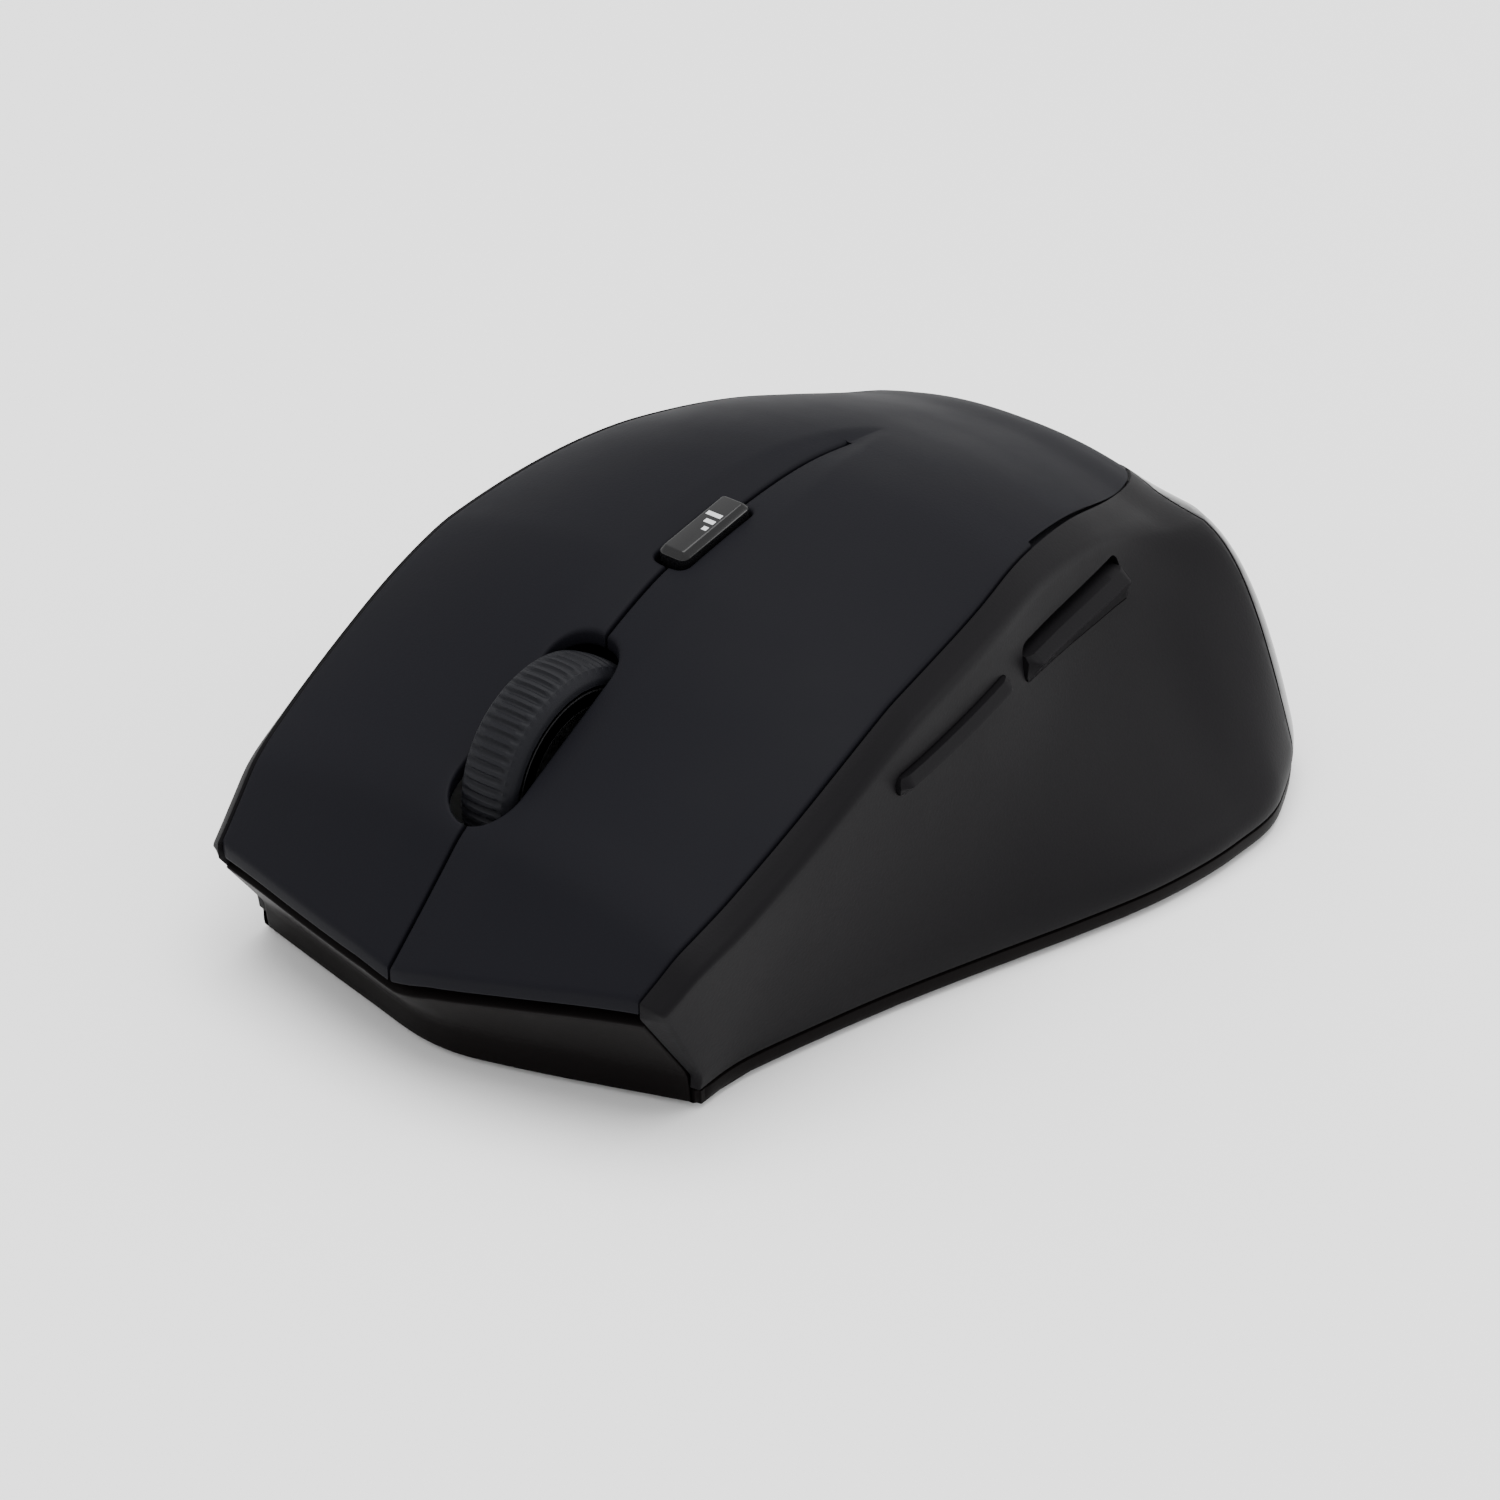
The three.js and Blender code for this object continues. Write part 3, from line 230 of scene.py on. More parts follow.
def station(s, side):
    # seam, outward direction, shoulder, foot, shoulder height and hollow at one place round the body
    key = (round(s, 6), side)
    if key not in stationStore:
        seam = seamPoint(s, side)
        out = seamOutwards(s, side)
        swing = body["cornerSwing"]
        if s < swing:
            share = s / swing
            out = (seamOutwards(0, side) * (1 - share) + seamOutwards(swing, side) * share).normalized()
        height = topHeight(seam.x, seam.y) - curveAt(body["shoulderFall"], s)
        foot = alongOutline(body["footThumb" if side > 0 else "footOuter"], s)
        hollow = curveAt(body["hollow"][side], s)
        stationStore[key] = (seam, out, seam + out * curveAt(body["reach"][side], s), foot, height, hollow)
    return stationStore[key]


def flankPoint(s, side, t):
    _, _, shoulder, foot, height, hollow = station(s, side)
    share = max(t, 0) ** hollow
    plan = shoulder * (1 - share) + foot * share
    return Vector((plan.x, plan.y, height + (form["lip"] - height) * t))


def bend(a, corner, b, t):
    return a * (1 - t) ** 2 + corner * (2 * t * (1 - t)) + b * t * t


# mesh helpers
def makeGrid(bm, columns, rows, place):
    # place(i, j) gives each corner's position; i counts columns and j counts rows
    made = bmesh.ops.create_grid(bm, x_segments=columns, y_segments=rows, size=0.5)["verts"]
    spots = {vert: (round((vert.co.x + 0.5) * columns), round((vert.co.y + 0.5) * rows)) for vert in made}
    for vert, (i, j) in spots.items():
        vert.co = place(i, j)
    return spots


def outwardsInPlan(vert):
    total = Vector((0, 0, 0))
    for edge in vert.link_edges:
        if edge.is_boundary:
            along = edge.verts[1].co - edge.verts[0].co
            across = Vector((along.y, -along.x, 0)).normalized()
            middle = (edge.verts[0].co + edge.verts[1].co) / 2
            if across.dot(middle - edge.link_faces[0].calc_center_median()) < 0:
                across.negate()
            total += across
    return total * (2 / max(total.length_squared, 0.5))


def pullLoop(bm, edges, steps):
    # extrudes a loop of edges once for each step; steps gives every first vertex its list of places
    places = {vert: steps(vert) for edge in edges for vert in edge.verts}
    current = {vert: vert for vert in places}
    count = len(next(iter(places.values())))
    for k in range(count):
        made = bmesh.ops.extrude_edge_only(bm, edges=edges)["geom"]
        fresh = [item for item in made if isinstance(item, bmesh.types.BMVert)]
        edges = [item for item in made if isinstance(item, bmesh.types.BMEdge)
                 and item.verts[0] in fresh and item.verts[1] in fresh]
        moved = {}
        back = {now: first for first, now in current.items()}
        for vert in fresh:
            for edge in vert.link_edges:
                other = edge.other_vert(vert)
                if other in back:
                    moved[back[other]] = vert
                    break
        for first, vert in moved.items():
            vert.co = places[first][k]
        current = moved
    return edges


def finishPiece(name, bm, materials, sharpAngle=38):
    bmesh.ops.remove_doubles(bm, verts=bm.verts, dist=1e-5)
    bmesh.ops.recalc_face_normals(bm, faces=bm.faces)
    bmesh.ops.transform(bm, matrix=toRow, verts=bm.verts)
    mesh = bpy.data.meshes.new(name)
    bm.to_mesh(mesh)
    bm.free()
    mesh.shade_smooth()
    mesh.set_sharp_from_angle(angle=math.radians(sharpAngle))
    obj = bpy.data.objects.new(name, mesh)
    bpy.context.collection.objects.link(obj)
    for material in materials:
        mesh.materials.append(material)
    return obj


def bakeModifiers(obj):
    shown = obj.evaluated_get(bpy.context.evaluated_depsgraph_get())
    mesh = bpy.data.meshes.new_from_object(shown)
    obj.modifiers.clear()
    obj.data = mesh


# materials
def nodesOf(name):
    material = bpy.data.materials.new(name)
    material.use_nodes = True
    tree = material.node_tree
    return material, tree, tree.nodes["Principled BSDF"]


def addNode(tree, kind, values=None, **settings):
    node = tree.nodes.new(kind)
    for key, value in settings.items():
        setattr(node, key, value)
    for key, value in (values or {}).items():
        node.inputs[key].default_value = value
    return node


def makeGroup(name, inputs, outputs):
    tree = bpy.data.node_groups.new(name, "ShaderNodeTree")
    for label, kind, value in inputs:
        item = tree.interface.new_socket(label, in_out="INPUT", socket_type=kind)
        if value is not None:
            item.default_value = value
    for label, kind in outputs:
        tree.interface.new_socket(label, in_out="OUTPUT", socket_type=kind)
    return tree, tree.nodes.new("NodeGroupInput"), tree.nodes.new("NodeGroupOutput")


def makeGrain():
    # fine moulded or sprayed grain: a normal, and a roughness that drifts over the surface
    tree, start, end = makeGroup(
        "grain",
        [("Size", "NodeSocketFloat", 0.0003), ("Strength", "NodeSocketFloat", 0.2),
         ("Roughness", "NodeSocketFloat", 0.5), ("Drift", "NodeSocketFloat", 0.06)],
        [("Normal", "NodeSocketVector"), ("Roughness", "NodeSocketFloat"), ("Mottle", "NodeSocketFloat")])
    link = tree.links.new
    where = addNode(tree, "ShaderNodeTexCoord")
    scale = addNode(tree, "ShaderNodeMath", {0: 1.0}, operation="DIVIDE")
    link(start.outputs["Size"], scale.inputs[1])
    fine = addNode(tree, "ShaderNodeTexNoise", {"Detail": 2.0, "Roughness": 0.6})
    link(where.outputs["Object"], fine.inputs["Vector"])
    link(scale.outputs[0], fine.inputs["Scale"])
    bump = addNode(tree, "ShaderNodeBump", {"Distance": 0.00006})
    link(fine.outputs["Fac"], bump.inputs["Height"])
    link(start.outputs["Strength"], bump.inputs["Strength"])
    wide = addNode(tree, "ShaderNodeTexNoise", {"Scale": 45.0, "Detail": 4.0, "Roughness": 0.55})
    link(where.outputs["Object"], wide.inputs["Vector"])
    swing = addNode(
        tree, "ShaderNodeMapRange", {"From Min": 0.3, "From Max": 0.7, "To Min": -1.0, "To Max": 1.0})
    link(wide.outputs["Fac"], swing.inputs["Value"])
    drift = addNode(tree, "ShaderNodeMath", operation="MULTIPLY_ADD")
    link(swing.outputs["Result"], drift.inputs[0])
    link(start.outputs["Drift"], drift.inputs[1])
    link(start.outputs["Roughness"], drift.inputs[2])
    link(bump.outputs["Normal"], end.inputs["Normal"])
    link(drift.outputs[0], end.inputs["Roughness"])
    link(wide.outputs["Fac"], end.inputs["Mottle"])
    return tree


grain = makeGrain()


def makePlastic(name, look):
    # look: dark and light colours, roughness, drift, grain size and strength, sheen, coat
    material, tree, shader = nodesOf(name)
    link = tree.links.new
    effect = addNode(tree, "ShaderNodeGroup", node_tree=grain)
    effect.inputs["Size"].default_value = look["grainSize"]
    effect.inputs["Strength"].default_value = look["grain"]
    effect.inputs["Roughness"].default_value = look["roughness"]
    effect.inputs["Drift"].default_value = look.get("drift", 0.05)
    tone = addNode(tree, "ShaderNodeMix", data_type="RGBA")
    tone.inputs[6].default_value = (*look["dark"], 1)
    tone.inputs[7].default_value = (*look["light"], 1)
    link(effect.outputs["Mottle"], tone.inputs[0])
    link(tone.outputs[2], shader.inputs["Base Color"])
    link(effect.outputs["Roughness"], shader.inputs["Roughness"])
    link(effect.outputs["Normal"], shader.inputs["Normal"])
    shader.inputs["Specular IOR Level"].default_value = look.get("specular", 0.5)
    shader.inputs["Sheen Weight"].default_value = look.get("sheen", 0.0)
    shader.inputs["Sheen Roughness"].default_value = 0.45
    shader.inputs["Coat Weight"].default_value = look.get("coat", 0.0)
    shader.inputs["Coat Roughness"].default_value = 0.08
    shader.inputs["Metallic"].default_value = look.get("metal", 0.0)
    return material


looks = {
    "softTop": {"dark": (0.0044, 0.0044, 0.0062), "light": (0.0060, 0.0060, 0.0082), "roughness": 0.58,
                "grain": 0.22, "grainSize": 0.00032, "specular": 0.055},
    "sideRubber": {"dark": (0.0046, 0.0043, 0.0050), "light": (0.0062, 0.0058, 0.0066), "roughness": 0.5,
                   "grain": 0.3, "grainSize": 0.00036, "specular": 0.055},
    "satinBlack": {"dark": (0.0020, 0.0014, 0.0014), "light": (0.0030, 0.0022, 0.0022), "roughness": 0.45,
                   "grain": 0.12, "grainSize": 0.0005, "specular": 0.04},
    "pianoBlack": {"dark": (0.0035, 0.0035, 0.004), "light": (0.005, 0.005, 0.0055), "roughness": 0.2,
                   "grain": 0.01, "grainSize": 0.002, "drift": 0.02, "specular": 0.3},
    "tyreRubber": {"dark": (0.0052, 0.0054, 0.0072), "light": (0.0078, 0.0080, 0.0102), "roughness": 0.55,
                   "grain": 0.35, "grainSize": 0.0002, "specular": 0.12},
    "greyPlastic": {"dark": (0.12, 0.125, 0.13), "light": (0.17, 0.175, 0.18), "roughness": 0.45,
                    "grain": 0.1, "grainSize": 0.0004},
    "whitePlastic": {"dark": (0.62, 0.62, 0.6), "light": (0.72, 0.72, 0.7), "roughness": 0.42, "grain": 0.08,
                     "grainSize": 0.0004},
    "glideFilm": {"dark": (0.035, 0.037, 0.04), "light": (0.055, 0.057, 0.06), "roughness": 0.32,
                  "grain": 0.1, "grainSize": 0.0008, "drift": 0.12},
    "chipResin": {"dark": (0.008, 0.008, 0.009), "light": (0.014, 0.014, 0.015), "roughness": 0.5,
                  "grain": 0.3, "grainSize": 0.00015},
    "steel": {"dark": (0.42, 0.43, 0.45), "light": (0.56, 0.57, 0.58), "roughness": 0.3, "grain": 0.08,
              "grainSize": 0.0002, "metal": 1.0, "drift": 0.1},
    "brass": {"dark": (0.45, 0.33, 0.14), "light": (0.6, 0.45, 0.2), "roughness": 0.3, "grain": 0.08,
              "grainSize": 0.0002, "metal": 1.0, "drift": 0.1},
    "boardGreen": {"dark": (0.008, 0.055, 0.022), "light": (0.014, 0.085, 0.036), "roughness": 0.38,
                   "grain": 0.1, "grainSize": 0.0005, "coat": 0.3},
    "cellSkin": {"dark": (0.03, 0.07, 0.15), "light": (0.045, 0.1, 0.2), "roughness": 0.3, "grain": 0.05,
                 "grainSize": 0.0006, "metal": 0.2},
    "clearLens": {"dark": (0.6, 0.64, 0.66), "light": (0.7, 0.74, 0.76), "roughness": 0.08, "grain": 0.01,
                  "grainSize": 0.002},
}
paint = {name: makePlastic(name, look) for name, look in looks.items()}
print("materials:", len(paint))

# CAD pieces that stay as they are, by the finish they get
finishes = {
    "satinBlack": ["base", "battery_door", "top_frame"],
    "glideFilm": ["front_glide", "rear_glide"],
    "cellSkin": ["battery_left", "battery_right"],
    "steel": ["contact_left", "contact_bridge", "contact_spring", "crystal", "board_screw_1", "board_screw_2",
              "dpi_switch", "power_switch", "case_screw_1", "case_screw_2", "case_screw_3", "case_screw_4"],
    "brass": ["contact_right"],
    "boardGreen": ["main_board", "top_board", "side_board"],
    "chipResin": ["optical_sensor", "controller_chip", "left_switch", "right_switch", "middle_switch",
                  "forward_switch", "back_switch"],
    "clearLens": ["sensor_lens"],
    "whitePlastic": ["left_plunger", "right_plunger", "middle_plunger", "wheel_cradle", "power_slider"],
    "greyPlastic": ["scroll_encoder"],
}
for finish, names in finishes.items():
    for name in names:
        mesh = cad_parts[name].data
        mesh.materials.clear()
        mesh.materials.append(paint[finish])

# top cover: two main buttons and the palm
cover = {
    "edgeRadius": 0.45,
    "lowerRadius": 0.35,
    "thickness": 1.2,
    "slotFront": -39.5, "slotRear": -17.76, "slotX": -0.3, "slotHalf": 4.15,
    "holeFront": -8.1, "holeRear": 3.6, "holeHalf": 2.25, "holeCorner": 1.0,
    "acrossCells": 40,
    "alongCells": 200,
    "frontInset": 0.02,     # keeps the rounded front edge inside the solid below it
    "pitch": 0.8,           # size of the triangles on the two buttons
    "palmRows": 64,
    "palmCorner": 0.74,     # where the palm's sides hand over to the tail edge, along the side seam
    "blendReach": 0.012,    # the buttons bend over this length, in metres
}


def arcPoints(cx, cy, radius, start, end, count):
    return [Vector((cx + radius * math.cos(start + (end - start) * k / count),
                    cy + radius * math.sin(start + (end - start) * k / count))) for k in range(count + 1)]


def frontAt(x):
    # the front edge's place along the body at a distance x from the centre seam
    low, high = 0, 1
    for _ in range(24):
        s = (low + high) / 2
        point = alongOutline(body["frontEdge"], s)
        if point.x < x:
            low = s
        else:
            high = s
    return point.y + form["gap"] / 2 + cover["frontInset"]


def innerRuns(side):
    # from the front edge to the bend, as runs between corners: along the seam, round the wheel's slot
    # and round the small button's hole
    inner = form["gap"] / 2
    start = Vector((inner, frontAt(side * inner)))
    reach = cover["slotHalf"] + side * cover["slotX"]
    radius = cover["slotHalf"] - 0.1
    cx = reach - radius
    quarter = math.pi / 2
    lowest = math.acos(max(-1, min(1, (inner - cx) / radius)))
    slot = arcPoints(cx, cover["slotFront"] + radius, radius, -lowest, 0, 30)
    slot += arcPoints(cx, cover["slotRear"] - radius, radius, 0, lowest, 30)
    half, corner = cover["holeHalf"], cover["holeCorner"]
    hole = [Vector((inner, cover["holeFront"]))]
    hole += arcPoints(half - corner, cover["holeFront"] + corner, corner, -quarter, 0, 8)
    hole += arcPoints(half - corner, cover["holeRear"] - corner, corner, 0, quarter, 8)
    hole += [Vector((inner, cover["holeRear"]))]
    return [[start, slot[0]], slot, [slot[-1], hole[0]], hole, [hole[-1], Vector((inner, form["bendY"]))]]


def spread(runs, count):
    # equal steps along each run, so that the runs' ends stay as corners
    def lengthsOf(points):
        out = [0]
        for a, b in zip(points, points[1:]):
            out.append(out[-1] + (b - a).length)
        return out

    totals = [lengthsOf(run)[-1] for run in runs]
    shares = [max(2, round(count * total / sum(totals))) for total in totals]
    shares[-1] += count - sum(shares)
    out = [runs[0][0]]
    for run, steps in zip(runs, shares):
        lengths = lengthsOf(run)
        k = 0
        for step in range(1, steps + 1):
            value = lengths[-1] * step / steps
            while k < len(run) - 2 and value > lengths[k + 1]:
                k += 1
            span = lengths[k + 1] - lengths[k]
            out.append(run[k].lerp(run[k + 1], 0 if span == 0 else min((value - lengths[k]) / span, 1)))
    return out


def onTop(x, y):
    return Vector((x, y, topHeight(x, y)))


def closeCover(bm, isBend, ways=None):
    # rounds the outline, gives it a face and closes the underside
    loop = [edge for edge in bm.edges if edge.is_boundary]
    top = list(bm.faces)
    radius, lower = cover["edgeRadius"], cover["lowerRadius"]
    face = body["buttonFace"]
    under = bmesh.ops.duplicate(bm, geom=top)
    for item in under["geom"]:
        if isinstance(item, bmesh.types.BMVert):
            item.co.z -= cover["thickness"]
    lowerLoop = [item for item in under["geom"] if isinstance(item, bmesh.types.BMEdge) and item.is_boundary]

    def steps(vert):
        out = ways[vert] if ways else outwardsInPlan(vert)
        if isBend(vert.co):
            out = Vector((out.x if abs(out.x) > 0.3 and abs(vert.co.x) > 0.2 else 0, 0, 0))
            if out.length > 0:
                out = out / abs(out.x)
        start = vert.co.copy()
        corner = start + out * radius
        corner.z = topHeight(corner.x, corner.y)
        down = Vector((0, 0, -1))
        end = corner + down * radius
        places = [bend(start, corner, end, k / 4) for k in range(1, 5)]
        places.append(corner + down * (face - lower))
        foot = corner + down * face
        inwards = foot - out * lower
        places += [bend(places[-1], foot, inwards, k / 3) for k in range(1, 4)]
        return places

    last = pullLoop(bm, loop, steps)
    bmesh.ops.bridge_loops(bm, edges=last + lowerLoop)


def ringOutwards(ring, turn):
    # the way out at each point of a closed ring, mitred at its corners
    # turn is 1 when the ring runs anticlockwise and -1 when it runs clockwise
    out = []
    for k, point in enumerate(ring):
        before, after = (point - ring[k - 1]).normalized(), (ring[(k + 1) % len(ring)] - point).normalized()
        sides = [Vector((turn * way.y, -turn * way.x)) for way in (before, after)]
        middle = (sides[0] + sides[1]).normalized()
        out.append(middle / max(middle.dot(sides[0]), 0.5))
    return out


def isInside(ring, x, y):
    found = False
    for a, b in zip(ring, ring[1:] + ring[:1]):
        if (a.y > y) != (b.y > y) and x < a.x + (b.x - a.x) * (y - a.y) / (b.y - a.y):
            found = not found
    return found


def treeOf(points):
    tree = kdtree.KDTree(len(points))
    for k, point in enumerate(points):
        tree.insert((point.x, point.y, 0), k)
    tree.balance()
    return tree


def fillRing(bm, ring, pitch):
    # even triangles inside a closed ring, laid on the top surface; returns the ring's own vertices
    tree = treeOf(ring)
    points = list(ring)
    low = [min(point[axis] for point in ring) for axis in (0, 1)]
    high = [max(point[axis] for point in ring) for axis in (0, 1)]
    for row in range(int((high[1] - low[1]) / pitch) + 1):
        y = low[1] + pitch * row
        for column in range(int((high[0] - low[0]) / pitch) + 1):
            x = low[0] + pitch * (column + 0.5 * (row % 2))
            if isInside(ring, x, y) and tree.find((x, y, 0))[2] > 0.6 * pitch:
                points.append(Vector((x, y)))
    flat, _, faces, origins, _, _ = geometry.delaunay_2d_cdt(points, [], [list(range(len(ring)))], 1, 1e-5)
    verts = [bm.verts.new(onTop(point.x, point.y)) for point in flat]
    for face in faces:
        bm.faces.new([verts[k] for k in face])
    found = {}
    for vert, sources in zip(verts, origins):
        for k in sources:
            if k < len(ring):
                found[k] = vert
    return found


def makeTongue(side):
    radius = cover["edgeRadius"]
    along, across = cover["alongCells"], cover["acrossCells"]
    inner = [Vector((side * point.x, point.y)) for point in spread(innerRuns(side), along)]
    sideEnd = seamAtY(form["bendY"], side)
    outer = []
    for k in range(along + 1):
        share = sideEnd * k / along
        away = seamOutwards(share, side)
        outer.append(seamPoint(share, side) - Vector((away.x, away.y)) * (form["gap"] / 2))
    outer[0].y, outer[-1].y = frontAt(outer[0].x), form["bendY"]
    front = []
    for k in range(1, across):
        point = inner[0].lerp(outer[0], k / across)
        point.y = frontAt(point.x)
        front.append(point)
    corners = [inner[-1] + Vector((side * radius, 0)), outer[-1] - Vector((side * radius, 0))]
    line = inner[::-1] + front + outer
    outwards = ringOutwards(line, side)
    # the ring is drawn in by the edge radius, so that the rounding ends on the true outline; points that
    # would cross over at a corner are left out
    tree = treeOf(line)
    ring, ways = [corners[0]], [Vector((-side, 0, 0))]
    for point, out in zip(line[1:-1], outwards[1:-1]):
        drawn = point - out * radius
        if tree.find((*drawn, 0))[2] > radius - 0.02:
            ring.append(drawn)
            ways.append(Vector((*out, 0)))
    ring.append(corners[1])
    ways.append(Vector((side, 0, 0)))
    for k in range(1, across):
        ring.append(corners[1].lerp(corners[0], k / across))
        ways.append(Vector((0, 0, 0)))
    bm = bmesh.new()
    found = fillRing(bm, ring, cover["pitch"])
    bmesh.ops.recalc_face_normals(bm, faces=bm.faces)
    ways = {vert: ways[k] for k, vert in found.items()}
    closeCover(bm, lambda co: abs(co.y - form["bendY"]) < 1e-4, ways)
    name = "leftButtonCover" if side > 0 else "rightButtonCover"
    obj = finishPiece(name, bm, [paint["softTop"]])
    node = "left_button" if side > 0 else "right_button"
    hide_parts(node)
    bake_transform(obj)


def makePalm():
    radius = cover["edgeRadius"]
    across, along = 2 * cover["acrossCells"] + 2, cover["palmRows"]
    corner = cover["palmCorner"]
    starts = {side: seamAtY(form["bendY"], side) for side in (1, -1)}
    inner = form["gap"] / 2
    half = cover["acrossCells"]

    def sidePoint(side, u):
        return seamPoint(starts[side] + (corner - starts[side]) * u, side)

    def tail(v):
        s = corner + (1 - corner) * (1 - abs(2 * v - 1))
        return seamPoint(s, 1 if v > 0.5 else -1)

    def front(j):
        if j <= half:
            a, b, share = -abs(seamPoint(starts[-1], -1).x), -inner, j / half
        elif j < half + 2:
            return Vector((0, form["bendY"]))
        else:
            a, b, share = inner, seamPoint(starts[1], 1).x, (j - half - 2) / half
        return Vector((a + (b - a) * share, form["bendY"]))

    bm = bmesh.new()

    def place(i, j):
        u = i / along
        f = front(j)
        west, east = sidePoint(-1, u), sidePoint(1, u)
        west0, east0 = front(0), front(across)
        v = (f.x - west0.x) / (east0.x - west0.x)
        t = tail(v)
        west1, east1 = sidePoint(-1, 1), sidePoint(1, 1)
        flat = west.lerp(east, v) + f.lerp(t, u) - west0.lerp(east0, v).lerp(west1.lerp(east1, v), u)
        return onTop(flat.x, flat.y if i else form["bendY"])

    makeGrid(bm, along, across, place)
    shift = {}
    for vert in bm.verts:
        if vert.is_boundary:
            out = outwardsInPlan(vert)
            if abs(vert.co.y - form["bendY"]) < 1e-4:
                out = Vector((out.x / abs(out.x), 0, 0)) if abs(out.x) > 0.3 else Vector()
            shift[vert] = out * -(radius + form["gap"] / 2)
    for vert, move in shift.items():
        vert.co = onTop(vert.co.x + move.x, vert.co.y + move.y)
    closeCover(bm, lambda co: abs(co.y - form["bendY"]) < 1e-4)
    obj = finishPiece("palmCover", bm, [paint["softTop"]])
    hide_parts("palm_cover")
    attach(obj, "case")


makeTongue(1)
makeTongue(-1)
makePalm()
print("top cover")

# side panels and tail trim
panel = {
    "creaseStart": 0.72,    # share of the strip where the shoulder's rounding starts
    "creaseEnd": 0.035,     # share of the flank where it ends
    "lipStart": 0.93,
    "underInset": 0.35,
    "wall": 1.5,
    "facetReach": 0.008,    # how far the front corner's rounding reaches along the side
    "facetShare": 0.18,     # and across the front facet
    "edgeRadius": 0.25,
    "tail": 0.97,           # the panels run to here before they are cut
    "cells": 120,
    "trimStart": 0.7,
    "trimCells": 60,
}
flankShares = [panel["creaseEnd"] + (panel["lipStart"] - panel["creaseEnd"]) * k / 26 for k in range(27)]


def sideProfile(s, side):
    # the places down one line of a side panel, from the top seam to the parting line at the rim
    seam, out, shoulder, _, height, _ = station(s, side)
    edge = seam + out * (form["gap"] / 2)
    start = Vector((edge.x, edge.y, topHeight(seam.x, seam.y)))
    crease = Vector((shoulder.x, shoulder.y, height))
    lines = [start, start.lerp(crease, panel["creaseStart"] * 0.5)]
    begin = start.lerp(crease, panel["creaseStart"])
    lines += [bend(begin, crease, flankPoint(s, side, flankShares[0]), k / 6) for k in range(6)]
    lines += [flankPoint(s, side, t) for t in flankShares]
    lip = flankPoint(s, side, 1)
    tucked = lip - Vector((out.x, out.y, 0)) * panel["underInset"]
    tucked.z = form["rimTop"] + form["gap"]
    lines += [bend(lines[-1], lip, tucked, k / 6) for k in range(1, 7)]
    return lines


def frontProfile(side):
    # the same lines down the front facet's inner edge, beside the nose
    x = side * (0.9 * form["halfWidth"] + form["gap"] / 2)
    seam = seamPoint(0, side)
    foot = alongOutline(body["footFront"], 1 if side > 0 else 0)
    corner = sideProfile(0, side)
    top = topHeight(seam.x, seam.y)
    out = []
    for point in corner:
        share = (top - body["buttonFace"] - point.z) / (top - body["buttonFace"] - form["lip"])
        out.append(Vector((x, seam.y + (foot.y - seam.y) * max(0, min(share, 1)), point.z)))
    return out


def flankColumns(side, ends):
    # lists of profiles for the panel (from the front facet back) or for the tail
    first, last, count = ends
    out = []
    if first == 0:
        reach = panel["facetReach"]
        facet = frontProfile(side)
        corner, after = sideProfile(0, side), sideProfile(reach, side)
        before = [a.lerp(b, 1 - panel["facetShare"]) for a, b in zip(facet, corner)]
        out += [facet, [a.lerp(b, 0.5) for a, b in zip(facet, before)]]
        for k in range(7):
            out.append([bend(a, b, c, k / 7) for a, b, c in zip(before, corner, after)])
        first = reach
    for k in range(count + 1):
        out.append(sideProfile(first + (last - first) * k / count, side))
    return out


def sheetFrom(columns):
    bm = bmesh.new()
    makeGrid(bm, len(columns) - 1, len(columns[0]) - 1, lambda i, j: columns[i][j])
    return bm


trim = {
    # planes through the tail that part the polished trim from the panels: a point and the way to the trim
    "thumb": ((35.2, 51.0, 12), (0.1, 0.99, -0.06)),
    "outer": ((-26.5, 51.5, 10), (-0.2, 0.97, 0)),
}


def cutPlane(bm, plane, keepTrim, gapSide):
    point, way = Vector(plane[0]), Vector(plane[1]).normalized()
    point = point + way * (gapSide * form["gap"] / 2)
    bmesh.ops.bisect_plane(
        bm, geom=list(bm.verts) + list(bm.edges) + list(bm.faces), dist=1e-5, plane_co=point, plane_no=way,
        clear_inner=keepTrim, clear_outer=not keepTrim)


def thicken(obj, wall, rounding):
    solidify = obj.modifiers.new("wall", "SOLIDIFY")
    solidify.thickness = wall / 1000
    solidify.offset = -1
    solidify.use_even_offset = True
    bevel = obj.modifiers.new("edges", "BEVEL")
    bevel.width = rounding / 1000
    bevel.segments = 3
    bevel.limit_method = "ANGLE"
    bevel.angle_limit = math.radians(55)
    bevel.harden_normals = False


def facesOut(bm, side):
    # the sheets are open, so they are turned by hand: the widest face looks away from the body
    face = max(bm.faces, key=lambda f: side * f.calc_center_median().x)
    face.normal_update()
    if face.normal.x * side < 0:
        bmesh.ops.reverse_faces(bm, faces=bm.faces)


def finishSheet(name, bm, side, material, wall, rounding):
    bmesh.ops.remove_doubles(bm, verts=bm.verts, dist=1e-4)
    bmesh.ops.recalc_face_normals(bm, faces=bm.faces)
    facesOut(bm, side)
    bmesh.ops.transform(bm, matrix=toRow, verts=bm.verts)
    mesh = bpy.data.meshes.new(name)
    bm.to_mesh(mesh)
    bm.free()
    mesh.shade_smooth()
    obj = bpy.data.objects.new(name, mesh)
    bpy.context.collection.objects.link(obj)
    mesh.materials.append(material)
    thicken(obj, wall, rounding)
    bakeModifiers(obj)
    obj.data.set_sharp_from_angle(angle=math.radians(40))
    return obj


